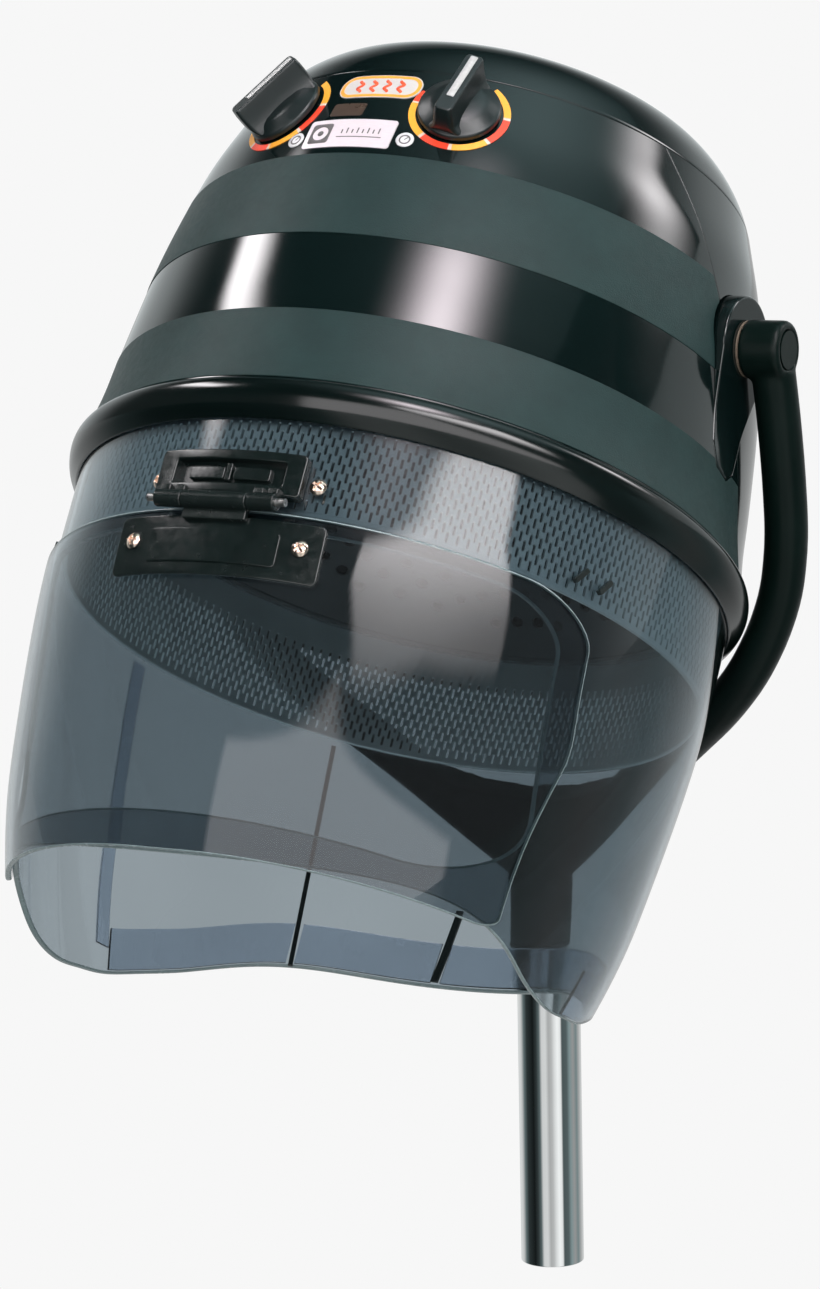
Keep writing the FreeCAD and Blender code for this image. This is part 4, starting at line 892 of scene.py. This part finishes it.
# ------------------------------------------------------------------ perforated wall and inner dome
def perforated_wall():
    cols, rows_n = 196, 5
    half = math.pi / cols
    rr, t_wall = 167.4, 1.5
    z_top, z_low, pitch = -112.0, -176.0, 8.6
    z_first = -131.5

    def slot(cx, cz):
        p = rounded([(-0.72, -2.9), (0.72, -2.9), (0.72, 2.9), (-0.72, 2.9)], 0.68, 2)[::-1]
        return np.stack([cx + p[:, 0], cz + p[:, 1]], 1)
    w = 2 * half * rr
    zs = [z_low, z_low + 2.6] + [z for z in np.arange(-168.5, -126, 4.3)] + [-121.0, z_top]
    left = [(-w / 2, z) for z in zs]
    right = [(w / 2, z) for z in zs]
    outer = np.array([left[0], (0, z_low), right[0]] + right[1:] + [(0, z_top)] + left[::-1][:-1])
    outer = np.array(list(dict.fromkeys([tuple(q) for q in outer])))
    holes = []
    for k in range(rows_n):
        holes.append(slot(-w / 4, z_first - pitch * k))
        holes.append(slot(w / 4, z_first - pitch * k - pitch / 2 + (0 if k < rows_n - 1 else 0)))
    holes = [h[np.linalg.norm(h - np.roll(h, 1, axis=0), axis=1) > 1e-3] for h in holes]
    tri = triangles([outer] + holes, np.zeros((0, 2)))
    xy = np.concatenate([outer] + holes)
    n = len(xy)
    nh0 = len(outer)
    verts, norms, faces = [], [], []
    for c in range(cols):
        th = 2 * math.pi * c / cols + xy[:, 0] / rr
        e = np.stack([np.sin(th), -np.cos(th), np.zeros(n)], 1)
        for r, sg in ((rr, 1), (rr - t_wall, -1)):
            verts.append(e * r + np.c_[np.zeros((n, 2)), xy[:, 1]])
            norms.append(e * sg)
        s = c * 2 * n
        faces += [tuple(q + s) for q in tri] + [tuple(q[::-1] + s + n) for q in tri]
        at = nh0
        for h in holes:
            m = len(h)
            for i in range(m):
                j = (i + 1) % m
                faces.append((s + n + at + i, s + n + at + j, s + at + j, s + at + i))
            at += m
        for i in range(nh0):
            j = (i + 1) % nh0
            if abs(outer[i][1] - outer[j][1]) < 1e-6 and (abs(outer[i][1] - z_low) < 1e-6 or abs(outer[i][1] - z_top) < 1e-6):
                faces.append((s + n + i, s + n + j, s + j, s + i))
    ob = add_mesh("wall_perforated", np.concatenate(verts), faces)
    bm = bmesh.new()
    bm.from_mesh(ob.data)
    bmesh.ops.remove_doubles(bm, verts=bm.verts, dist=2e-6)
    bm.to_mesh(ob.data)
    bm.free()
    ob.data.polygons.foreach_set("use_smooth", [True] * len(ob.data.polygons))
    ob.data.set_sharp_from_angle(angle=math.radians(40))
    return ob


lip = lathe("lip", rounded([(165.9, -176.4), (168.3, -176.4), (168.3, -173.6), (165.9, -173.6)], 0.6, 3), 192)
flange = lathe("flange", rounded([(161.0, -112.2), (167.4, -112.2), (167.4, -110.1), (161.0, -110.1)], 0.4, 2), 192)
wall_ob = perforated_wall()
ob = join("diffuser_wall", [wall_ob, lip, flange])
ob.data.set_sharp_from_angle(angle=math.radians(40))
place(ob, M["diffuser_smoke"], "hood_head", stands_for=("diffuser",))


def perforated_dome():
    base, rise, z0, wall = 160.0, 86.0, -114.0, 2.0
    ball = (base * base + rise * rise) / (2 * rise)
    zc = z0 + rise - ball
    n = 150
    a = np.linspace(0, 2 * math.pi, n, endpoint=False)
    rim = np.stack([base * np.cos(a), base * np.sin(a)], 1)
    holes = []
    pitch = 13.0
    for j in range(-14, 15):
        for i in range(-14, 15):
            x, y = (i + 0.5 * (j % 2)) * pitch, j * pitch * 0.866
            rr = math.hypot(x, y)
            if rr > 148 or rr < 3:
                continue
            u = np.array([x, y]) / rr
            w = np.array([-u[1], u[0]])
            b = np.linspace(0, 2 * math.pi, 12, endpoint=False)[::-1]
            holes.append(np.array([x, y]) + np.outer(2.1 * np.cos(b), u) + np.outer(3.6 * np.sin(b), w))
    gx, gy = np.meshgrid(np.arange(-156, 157, 6.5), np.arange(-156, 157, 6.5))
    g2 = np.stack([gx.ravel(), gy.ravel()], 1)
    g2 = g2[np.hypot(g2[:, 0], g2[:, 1]) < base - 3]
    tree = kdtree.KDTree(sum(len(h) for h in holes))
    k = 0
    for h in holes:
        for q in h:
            tree.insert((q[0], q[1], 0), k)
            k += 1
    tree.balance()
    g2 = g2[np.array([tree.find((q[0], q[1], 0))[2] > 1.6 for q in g2])]
    g2 = g2[inside(g2, [rim] + holes)]
    tri = triangles([rim] + holes, g2)
    xy = np.concatenate([rim] + holes + [g2])
    m = len(xy)
    zz = lambda q, r: zc + np.sqrt(np.maximum(r * r - (q ** 2).sum(1), 0))
    v = np.concatenate([np.c_[xy, zz(xy, ball)], np.c_[xy * (1 - 2.0 / ball), zz(xy * (1 - 2.0 / ball), ball - wall)]])
    f = [tuple(q) for q in tri] + [tuple(q[::-1] + m) for q in tri]
    at = 0
    for h in [rim] + holes:
        c = len(h)
        for i in range(c):
            j = (i + 1) % c
            f.append((at + m + i, at + m + j, at + j, at + i))
        at += c
    ob = recalc(add_mesh("dome_sieve", v, f))
    fl = lathe("dome_rim", rounded([(156.8, -114.1), (165.2, -114.1), (165.2, -112.2), (156.8, -112.2)], 0.4, 2), 192)
    ob = join("dome_perforated", [ob, fl])
    ob.data.set_sharp_from_angle(angle=math.radians(40))
    place(ob, M["inner_dome"], "hood_head", stands_for=("inner_dome",))


perforated_dome()


# ------------------------------------------------------------------ dials, scales, labels
def dial_frame(theta, z=59.0, slope=0.33, turn=0.0, radius=None):
    a = math.radians(theta)
    er, et = Vector((math.sin(a), -math.cos(a), 0)), Vector((math.cos(a), math.sin(a), 0))
    nn = (er + Vector((0, 0, slope))).normalized()
    ev = nn.cross(et)
    r = radius if radius is not None else float(DOME.r(z)[0])
    rot = Matrix((et, ev, nn)).transposed().to_4x4()
    return Matrix.Translation((er * r + Vector((0, 0, z))) * MM) @ rot @ Matrix.Rotation(math.radians(-turn), 4, "Z")


KNOB_R = 149.9 + (142.9 - 149.9) * 9 / 20.0


def on_dome(fr, xy, off):
    """Height above the local plane fr where the dome surface, lifted by off, lies."""
    a = np.array(fr, float)
    o, ex, ey, ez = a[:3, 3] / MM, a[:3, 0], a[:3, 1], a[:3, 2]
    p0 = o + np.outer(xy[:, 0], ex) + np.outer(xy[:, 1], ey)
    lo, hi = np.full(len(xy), -25.0), np.full(len(xy), 12.0)
    for _ in range(34):
        mid = 0.5 * (lo + hi)
        p = p0 + mid[:, None] * ez
        out = np.hypot(p[:, 0], p[:, 1]) > DOME.r(np.clip(p[:, 2], -108, 84)) + off
        hi = np.where(out, mid, hi)
        lo = np.where(out, lo, mid)
    return 0.5 * (lo + hi)


def decal(name, fr, loops, lo, hi, step=2.5):
    loops = [resample(np.asarray(lp, float), np.array([1.0, 1.0]), step * 0.5) for lp in loops]
    al = np.concatenate(loops)
    gx, gy = np.meshgrid(np.arange(al[:, 0].min(), al[:, 0].max(), step), np.arange(al[:, 1].min(), al[:, 1].max(), step))
    g2 = np.stack([gx.ravel(), gy.ravel()], 1)
    if len(g2):
        g2 = g2[inside(g2, loops)]
    if len(g2):
        d = np.min(np.linalg.norm(g2[:, None] - al[None], axis=2), axis=1)
        g2 = g2[d > 0.35 * step]
    tri = triangles(loops, g2)
    xy = np.concatenate(loops + [g2]) if len(g2) else al
    n = len(xy)
    v = np.concatenate([np.c_[xy, on_dome(fr, xy, hi)], np.c_[xy, on_dome(fr, xy, lo)]])
    f = [tuple(q) for q in tri] + [tuple(q[::-1] + n) for q in tri]
    at = 0
    for lp in loops:
        c = len(lp)
        for i in range(c):
            j = (i + 1) % c
            f.append((at + i, at + n + i, at + n + j, at + j))
        at += c
    ob = recalc(add_mesh(name, v, f))
    ob.data.set_sharp_from_angle(angle=math.radians(45))
    return ob


def sector(r0, r1, a0, a1, n=60):
    a = np.radians(np.linspace(a0, a1, n))
    return np.concatenate([np.stack([r1 * np.cos(a), r1 * np.sin(a)], 1), np.stack([r0 * np.cos(a[::-1]), r0 * np.sin(a[::-1])], 1)])


def stroke(pts, w):
    p = np.asarray(pts, float)
    t = np.gradient(p, axis=0)
    t /= np.linalg.norm(t, axis=1, keepdims=True)
    b = np.stack([-t[:, 1], t[:, 0]], 1) * w / 2
    a = np.linspace(0, math.pi, 7)[1:-1]
    end = [p[-1] - b[-1] * math.cos(x) * -1 * -1 + t[-1] * w / 2 * math.sin(x) for x in a]
    start = [p[0] + b[0] * math.cos(x) - t[0] * w / 2 * math.sin(x) for x in a]
    return np.concatenate([p - b, np.array(end), (p + b)[::-1], np.array(start)])


def circle(cx, cy, r, n=40, cw=False):
    a = np.linspace(0, 2 * math.pi, n, endpoint=False)
    a = a[::-1] if cw else a
    return np.stack([cx + r * np.cos(a), cy + r * np.sin(a)], 1)


for sg, side, dial, body, point in ((1, "right", "thermostat", "thermostat_dial", 10.0), (-1, "left", "timer", "timer_dial", 31.0)):
    base = dial_frame(sg * 19.8, radius=KNOB_R)
    ob = decal("scale_" + side, base, [sector(22.1, 25.7, -210, 57, 150)], 0.03, 0.45, 1.6)
    place(ob, M["scale_print"], "hood_head", HOOD @ base, ("scale_ring_" + side,))
    turned = dial_frame(sg * 19.8, turn=point, radius=KNOB_R)
    disc = lathe("d", [(0, 0.6), (20.2, 0.6), (20.7, 0.75), (20.95, 1.2), (21, 2.9), (20.7, 3.7), (20.1, 4.2), (18.5, 4.9), (15.0, 7.4), (12.0, 8.5), (6, 9.2), (0, 9.4)], 96, closed=False)
    # grip bar: a tall tapered fin whose ends follow the disc, crowned along its length
    n_l, bar_v, bar_f = 15, [], []
    zs = [4.6, 6.6, 9.2, 13.0, 17.0, 20.4]
    widths = [17.5, 13.4, 11.4, 10.4, 9.8, 9.3]
    ends = [19.4, 20.2, 20.8, 20.95, 21.0, 20.7]
    for z, w, e in zip(zs, widths, ends):
        row = rounded([(-w / 2, -e), (w / 2, -e), (w / 2, e), (-w / 2, e)], min(2.2, w / 2 - 0.2), 5)
        bar_v.append(np.c_[row, np.full(len(row), z)])
    k = len(bar_v[0])
    top1 = bar_v[-1] * np.array([1, 1, 1]) + np.array([0, 0, 0.65])
    top1[:, :2] *= np.array([0.955, 0.988])
    top2 = bar_v[-1] + np.array([0, 0, 1.0])
    top2[:, :2] *= np.array([0.86, 0.965])
    top2[:, 2] += 0.08
    bar_v += [top1, top2]
    v = np.concatenate(bar_v)
    for r in range(len(bar_v) - 1):
        for i in range(k):
            j = (i + 1) % k
            bar_f.append((r * k + i, r * k + j, (r + 1) * k + j, (r + 1) * k + i))
    bar_f.append(tuple(range((len(bar_v) - 1) * k, len(bar_v) * k)))
    bar_f.append(tuple(range(k - 1, -1, -1)))
    bar = recalc(add_mesh("b", v, bar_f))
    ob = join("knob_" + dial, [disc, bar])
    ob.data.set_sharp_from_angle(angle=math.radians(50))
    place(weighted(ob), M["knob_black"], body, HOOD @ turned, (dial + "_knob",))
    strip = slab("pointer_" + dial, [rounded([(-1.9, -11.0), (1.9, -11.0), (1.9, 19.3), (-1.9, 19.3)], 0.5, 3)], 21.35, 21.75, 0.12, 1)
    place(strip, M["pointer_white"], body, HOOD @ turned, (dial + "_pointer",))

lab = dial_frame(-0.5, 39.5, 0.27)
ob = decal("label_panel", lab, [rounded([(-25, -9.3), (25, -9.3), (25, 9.3), (-25, 9.3)], 1.8, 5)], 0.03, 0.5)
place(ob, M["label_silver"], "hood_head", HOOD @ lab, ("label_plate",))
marks = []
for i, x in enumerate(np.linspace(-4, 17, 8)):
    marks.append(decal("m", lab, [rounded([(x - 0.35, -0.5), (x + 0.35, -0.5), (x + 0.35, 3.2 if i % 2 else 2.2), (x - 0.35, 3.2 if i % 2 else 2.2)], 0.2, 2)], 0.45, 0.58, 2.0))
marks.append(decal("m", lab, [stroke(np.stack([np.linspace(-6, 19, 20), np.full(20, -2.8)], 1), 0.55)], 0.45, 0.58, 2.0))
marks.append(decal("m", lab, [rounded([(-22.5, -6.5), (-10.5, -6.5), (-10.5, 6.5), (-22.5, 6.5)], 1.5, 4), circle(-16.5, 0, 4.4, 36, True)], 0.45, 0.58, 2.0))
marks.append(decal("m", lab, [circle(-16.5, 0, 1.7, 24)], 0.45, 0.58, 2.0))
ob = join("label_marks", marks)
place(ob, M["label_ink"], "hood_head", HOOD @ lab)
icons = []
for cx in (-31.2, 31.8):
    icons.append(decal("i", lab, [circle(cx, -2.0, 4.6, 44)], 0.03, 0.42, 2.0))
    icons.append(decal("i", lab, [circle(cx, -2.0, 4.6, 44)], 0.03, 0.40, 2.0))
ob = join("dial_icons", icons[::2])
for o in icons[1::2]:
    bpy.data.objects.remove(o)
place(ob, M["label_pale"], "hood_head", HOOD @ lab)
glyphs = []
for cx in (-31.2, 31.8):
    glyphs.append(decal("g", lab, [circle(cx, -2.0, 3.0, 36), circle(cx, -2.0, 2.2, 30, True)], 0.4, 0.52, 2.0))
    glyphs.append(decal("g", lab, [stroke(np.array([(cx, -2.0), (cx + 0.9, -0.9), (cx + 1.5, -0.2)]), 0.5)], 0.4, 0.52, 2.0))
ob = join("icon_glyphs", glyphs)
place(ob, M["label_ink"], "hood_head", HOOD @ lab)
lamp = dial_frame(-3.2, 55.5, 0.31)
ob = decal("lamp_window", lamp, [rounded([(-9.5, -4.6), (9.5, -4.6), (9.5, 4.6), (-9.5, 4.6)], 1.4, 5)], 0.03, 0.35)
place(ob, M["lamp_brown"], "hood_head", HOOD @ lamp)

bad = dial_frame(1.2, 72.0, 0.37)
ob = decal("badge_plate", bad, [rounded([(-23, -8.4), (23, -8.4), (23, 8.4), (-23, 8.4)], 7.6, 10)], 0.03, 0.5)
place(ob, M["badge_plate"], "hood_head", HOOD @ bad, ("badge",))
rim = decal("badge_rim", bad, [rounded([(-22.4, -7.9), (22.4, -7.9), (22.4, 7.9), (-22.4, 7.9)], 7.2, 10),
                               rounded([(-20.6, -6.1), (20.6, -6.1), (20.6, 6.1), (-20.6, 6.1)], 5.6, 10)[::-1]], 0.46, 0.62)
place(rim, M["badge_warm"], "hood_head", HOOD @ bad)
waves = []
for x0 in (-11.5, -3.8, 3.9, 11.6):
    s = np.linspace(-3.9, 3.9, 26)
    waves.append(decal("w", bad, [stroke(np.stack([x0 + 1.25 * np.sin(s * 1.15), s], 1), 1.7)], 0.46, 0.66, 2.0))
ob = join("badge_waves", waves)
place(ob, M["badge_red"], "hood_head", HOOD @ bad)

# ------------------------------------------------------------------ yoke: cast fork with soft transitions
src = NODES["yoke"].data.copy()
yo = bpy.data.objects.new("fork_cast", src)
SCENE.collection.objects.link(yo)
modify(yo, "REMESH", mode="VOXEL", voxel_size=(0.0013), adaptivity=0.0, use_smooth_shade=True)
modify(yo, "SMOOTH", factor=0.5, iterations=5)
bake_modifiers(yo)
yo.data.polygons.foreach_set("use_smooth", [True] * len(yo.data.polygons))
place(yo, M["yoke_black"], "fork", Matrix.Identity(4), ("yoke",))

# ------------------------------------------------------------------ pole
prof = rounded([(15.5, 0), (17.5, 0), (17.5, 178.0), (15.5, 178.0)], [0.3, 0.5, 0.6, 0.3], 4)
ob = lathe("pole_chrome", prof, 192)
weighted(ob)
place(ob, M["chrome"], "pole", Matrix.Identity(4), ("pole_tube",))

# ------------------------------------------------------------------ CAD pieces that keep their shape
SLOT_OF = {m["slot"]: m for m in frame["record"].get("materials", [])}
KEEP = {
    "pole_spigot": "steel", "thrust_washer": "nylon_black", "spigot_circlip": "steel", "neck_bush": "nylon_black", "swivel_screw": "steel",
    "hub_caps": "yoke_black", "pivot_bolts": "steel", "friction_washers": "fibre", "pivot_nuts": "steel", "disc_springs": "steel",
    "pivot_bushes": "nylon_black", "skirt_gasket": "rubber", "hinge_pin": "steel", "hinge_nuts_upper": "screw_brass", "hinge_nuts_lower": "screw_brass",
    "skirt_clips": "hinge_black", "timer_shaft": "steel", "timer_unit": "case_white", "thermostat_shaft": "steel", "thermostat_unit": "case_white",
    "panel_nuts": "screw_brass", "motor_bracket": "steel_sheet", "motor": "motor_steel", "motor_screws": "steel", "motor_shaft": "steel",
    "impeller": "fan_alu", "air_baffle": "baffle_black", "heater_frame": "mica", "heater_coils": "heater_wire", "thermal_cutout": "case_white",
    "terminal_block": "case_white", "motor_lead": "lead_black",
}
for nm, ob in NODES.items():
    if nm in KEEP:
        ob.data.materials.clear()
        ob.data.materials.append(M[KEEP[nm]])

# ------------------------------------------------------------------ camera
az, el, roll, dist = math.radians(28.49), math.radians(4.32), math.radians(-1.05), 2.3073
F_PX, U0, V0 = 4376.6, 464.7, 343.6
b = Vector((math.sin(az) * math.cos(el), -math.cos(az) * math.cos(el), math.sin(el)))
eye = PIV + b * dist
fwd = -b
right = fwd.cross(Vector((0, 0, 1))).normalized()
up = right.cross(fwd)
ax, ay = math.atan2(U0 - 410, F_PX), math.atan2(V0 - 644.5, F_PX)
fwd2 = fwd * math.cos(ax) - right * math.sin(ax)
right2 = right * math.cos(ax) + fwd * math.sin(ax)
fwd3 = fwd2 * math.cos(ay) + up * math.sin(ay)
up3 = up * math.cos(ay) - fwd2 * math.sin(ay)
r3 = right2 * math.cos(roll) + up3 * math.sin(roll)
u3 = up3 * math.cos(roll) - right2 * math.sin(roll)
cam = bpy.data.objects.new("camera", bpy.data.cameras.new("camera"))
SCENE.collection.objects.link(cam)
cam.data.sensor_width = 36.0
cam.data.sensor_fit = "AUTO"
cam.data.lens = F_PX * 36.0 / 1289.0
rot = Matrix((r3, u3, -fwd3)).transposed().to_4x4()
cam.matrix_world = Matrix.Translation(eye) @ rot
cam.data.clip_start, cam.data.clip_end = 0.05, 200.0
SCENE.camera = cam

# ------------------------------------------------------------------ floor, lights, surroundings
fl = bpy.data.meshes.new("floor")
S = 60.0
fl.from_pydata([(-S, -S, 0), (S, -S, 0), (S, S, 0), (-S, S, 0)], [], [(0, 1, 2, 3)])
floor = bpy.data.objects.new("floor", fl)
SCENE.collection.objects.link(floor)
floor.location.z = -0.0005
m, nt, out = tree_of("floor_pale")
em = node(nt, "ShaderNodeEmission")
em.inputs["Color"].default_value = (0.930, 0.930, 0.930, 1)
low_em = node(nt, "ShaderNodeEmission")
low_em.inputs["Color"].default_value = (0.40, 0.41, 0.41, 1)
gem = node(nt, "ShaderNodeEmission")
geo = node(nt, "ShaderNodeNewGeometry")
sp = node(nt, "ShaderNodeSeparateXYZ")
nt.links.new(geo.outputs["Incoming"], sp.inputs[0])
neg = node(nt, "ShaderNodeMath", operation="MULTIPLY")
neg.inputs[1].default_value = -1.0
nt.links.new(sp.outputs["X"], neg.inputs[0])
at = node(nt, "ShaderNodeMath", operation="ARCTAN2")
nt.links.new(neg.outputs[0], at.inputs[0])
nt.links.new(sp.outputs["Y"], at.inputs[1])
turn = node(nt, "ShaderNodeMath", operation="ADD")
turn.inputs[1].default_value = math.radians(180 - 28.5 + 360)
nt.links.new(at.outputs[0], turn.inputs[0])
wr = node(nt, "ShaderNodeMath", operation="MODULO")
wr.inputs[1].default_value = 2 * math.pi
nt.links.new(turn.outputs[0], wr.inputs[0])
un = node(nt, "ShaderNodeMath", operation="DIVIDE")
un.inputs[1].default_value = 2 * math.pi
nt.links.new(wr.outputs[0], un.inputs[0])
ramp = node(nt, "ShaderNodeValToRGB")
cr = ramp.color_ramp
AROUND = [(-180, 0.60), (-150, 0.75), (-130, 0.60), (-112, 0.16), (-95, 0.035), (-66, 0.010), (-52, 0.04), (-40, 0.14), (-31, 0.70),
          (-17, 0.74), (-6, 0.46), (5, 0.54), (15, 0.80), (27, 1.02), (38, 0.88), (44, 0.10), (63, 0.12), (76, 0.30), (93, 0.34),
          (111, 0.24), (130, 0.44), (150, 0.65)]
cr.elements[0].position, cr.elements[1].position = 0.0, 1.0
for k, (d, v) in enumerate(AROUND):
    e_ = cr.elements[0] if k == 0 else cr.elements.new((d + 180) / 360)
    e_.color = (v * 0.97, v * 1.0, v * 1.0, 1) if v > 0.3 else (v * 0.78, v * 1.05, v * 1.08, 1)
cr.elements[len(AROUND)].color = (0.60, 0.60, 0.60, 1)
nt.links.new(un.outputs[0], ramp.inputs["Fac"])
nt.links.new(ramp.outputs["Color"], gem.inputs["Color"])
lp = node(nt, "ShaderNodeLightPath")
seen = node(nt, "ShaderNodeMath", operation="MAXIMUM")
nt.links.new(lp.outputs["Is Camera Ray"], seen.inputs[0])
nt.links.new(lp.outputs["Is Transmission Ray"], seen.inputs[1])
mx1 = node(nt, "ShaderNodeMixShader")
nt.links.new(lp.outputs["Is Glossy Ray"], mx1.inputs["Fac"])
nt.links.new(low_em.outputs[0], mx1.inputs[1])
nt.links.new(gem.outputs[0], mx1.inputs[2])
mx = node(nt, "ShaderNodeMixShader")
nt.links.new(seen.outputs[0], mx.inputs["Fac"])
nt.links.new(mx1.outputs[0], mx.inputs[1])
nt.links.new(em.outputs[0], mx.inputs[2])
nt.links.new(mx.outputs[0], out.inputs["Surface"])
fl.materials.append(m)

world = bpy.data.worlds.new("studio")
SCENE.world = world
world.use_nodes = True
nt = world.node_tree
nt.nodes.clear()
wout = nt.nodes.new("ShaderNodeOutputWorld")
tc = node(nt, "ShaderNodeTexCoord")
sp = node(nt, "ShaderNodeSeparateXYZ")
nt.links.new(tc.outputs["Generated"], sp.inputs[0])
# how far the direction turns away from the camera side, 0 in front to 1 at the back
back = node(nt, "ShaderNodeMapRange")
back.interpolation_type = "SMOOTHSTEP"
back.inputs["From Min"].default_value, back.inputs["From Max"].default_value = 0.08, 0.56
back.inputs["To Min"].default_value, back.inputs["To Max"].default_value = 0.09, 0.90
dot = node(nt, "ShaderNodeVectorMath", operation="DOT_PRODUCT")
dot.inputs[1].default_value = (-0.13, 0.99, 0.0)
nt.links.new(tc.outputs["Generated"], dot.inputs[0])
nt.links.new(dot.outputs["Value"], back.inputs["Value"])
high = node(nt, "ShaderNodeMapRange")
high.interpolation_type = "SMOOTHSTEP"
high.inputs["From Min"].default_value, high.inputs["From Max"].default_value = 0.25, 0.62
high.inputs["To Min"].default_value, high.inputs["To Max"].default_value = 1.0, 0.12
nt.links.new(sp.outputs["Z"], high.inputs["Value"])
mul = node(nt, "ShaderNodeMath", operation="MULTIPLY")
nt.links.new(back.outputs[0], mul.inputs[0])
nt.links.new(high.outputs[0], mul.inputs[1])
bg = node(nt, "ShaderNodeBackground")
bg.inputs["Color"].default_value = (0.90, 0.96, 0.97, 1)
nt.links.new(mul.outputs[0], bg.inputs["Strength"])
pale = node(nt, "ShaderNodeBackground")
pale.inputs["Color"].default_value = (0.93, 0.93, 0.93, 1)
lp = node(nt, "ShaderNodeLightPath")
any_seen = node(nt, "ShaderNodeMath", operation="MAXIMUM")
nt.links.new(lp.outputs["Is Camera Ray"], any_seen.inputs[0])
nt.links.new(lp.outputs["Is Transmission Ray"], any_seen.inputs[1])
mx = node(nt, "ShaderNodeMixShader")
nt.links.new(any_seen.outputs[0], mx.inputs["Fac"])
nt.links.new(bg.outputs[0], mx.inputs[1])
nt.links.new(pale.outputs[0], mx.inputs[2])
nt.links.new(mx.outputs[0], wout.inputs["Surface"])


def studio(name, lamps, far=10.0, aim=PIV):
    """One glowing shell around the part carrying all the softboxes; each lamp gives its radiance by azimuth and elevation."""
    na, ne, e_lo, e_hi = 360, 97, -7, 90
    vs, val, fs = [], np.zeros(((ne + 1) * na, 3)), []
    for i in range(ne + 1):
        e_ = e_lo + (e_hi - e_lo) * i / ne
        for k in range(na):
            a_ = -180 + 360 * k / na
            ar, er = math.radians(a_), math.radians(e_)
            vs.append(tuple(aim + Vector((math.sin(ar) * math.cos(er), -math.cos(ar) * math.cos(er), math.sin(er))) * far))
            for (a0, a1, b0, b1), glow, color in lamps:
                if a0 <= a_ <= a1 and b0 <= e_ <= b1:
                    val[i * na + k] += max(0.0, float(glow(a_, e_))) * np.array(color)
    hot = val.max(1) > 2e-3
    for i in range(ne):
        for k in range(na):
            q = (i * na + k, i * na + (k + 1) % na, (i + 1) * na + (k + 1) % na, (i + 1) * na + k)
            if hot[list(q)].any():
                fs.append(q)
    me = bpy.data.meshes.new(name)
    me.from_pydata(vs, [], fs)
    att = me.attributes.new("glow", "FLOAT_COLOR", "POINT")
    att.data.foreach_set("color", np.c_[val, np.ones(len(val))].ravel())
    ob = bpy.data.objects.new(name, me)
    SCENE.collection.objects.link(ob)
    m, nt, out = tree_of(name + "_glow")
    at_ = node(nt, "ShaderNodeAttribute", attribute_name="glow")
    em_ = node(nt, "ShaderNodeEmission")
    em_.inputs["Strength"].default_value = 1.0
    nt.links.new(at_.outputs["Color"], em_.inputs["Color"])
    nt.links.new(em_.outputs[0], out.inputs["Surface"])
    me.materials.append(m)
    ob.visible_camera = False
    ob.visible_shadow = False
    ob.visible_transmission = False
    return ob


def ramp_(x, a, b):
    t = min(1.0, max(0.0, (x - a) / (b - a)))
    return t * t * (3 - 2 * t)


def arc(a0, e0, a1, e1):
    a0, e0, a1, e1 = (math.radians(x) for x in (a0, e0, a1, e1))
    return math.degrees(math.acos(max(-1, min(1, math.sin(e0) * math.sin(e1) + math.cos(e0) * math.cos(e1) * math.cos(a0 - a1)))))


def poly_glow(points, soft):
    """1 well inside a polygon of (azimuth, elevation), fading to 0 over soft degrees inwards from its edge."""
    pp = np.array(points, float)

    def f(a, e):
        q = np.array([[a, e]])
        if not inside(q, [pp])[0]:
            return 0.0
        d = 1e9
        for u, w in zip(pp, np.roll(pp, -1, axis=0)):
            t = max(0, min(1, float((q[0] - u) @ (w - u) / ((w - u) @ (w - u)))))
            d = min(d, float(np.linalg.norm(q[0] - u - t * (w - u))))
        return ramp_(d, 0, soft)
    return f


low_quad = poly_glow([(-14, -9), (71, -9), (71, 3), (25, 33.5), (-14, 31)], 2.2)
high_quad = poly_glow([(24, 46), (21, 39), (29, 31), (53, 25), (77, 15), (79, 27), (70, 46)], 1.6)
WHITE = (1.0, 0.965, 0.98)
studio("softboxes", [
    ((-100, -52, 35, 52), lambda a, e: 18.0 * ramp_(e, 36, 40.5) * (1 - ramp_(e, 42.5, 49.5)) * ramp_(a, -99, -89) * (1 - ramp_(a, -66, -54)), WHITE),
    ((-40, 110, 34, 90), lambda a, e: 20.0 * math.exp(-(arc(a, e, 40, 60.5) / 9.5) ** 2) * (1 - ramp_(arc(a, e, 40, 60.5), 18, 25)), (1.0, 0.90, 0.95)),
    ((108, 146, 18, 56), lambda a, e: 11.0 * math.exp(-((a - 135) / 10.0) ** 2 - ((e - 33) / 9.0) ** 2) * (1 - ramp_(a, 142, 145.5)) * ramp_(a, 108, 114), WHITE),
    ((-15, 72, -7, 35), lambda a, e: 3.0 * low_quad(a, e), WHITE),
    ((20, 80, 14, 47), lambda a, e: 2.6 * high_quad(a, e) * (1.0 + 4.0 * ramp_(e + 0.28 * (a - 30), 30, 45)) * (1 - ramp_(e, 41, 46)), WHITE),
    ((-180, 180, 40, 90), lambda a, e: 1.35 * math.exp(-(arc(a, e, 125, 70) / 25.0) ** 2), (0.74, 1.0, 1.03)),
])

SCENE.view_settings.view_transform = "Standard"
SCENE.view_settings.look = "None"
SCENE.view_settings.exposure = 0.0
SCENE.cycles.transparent_max_bounces = 24
SCENE.cycles.max_bounces = 16
SCENE.cycles.transmission_bounces = 16
SCENE.cycles.glossy_bounces = 6
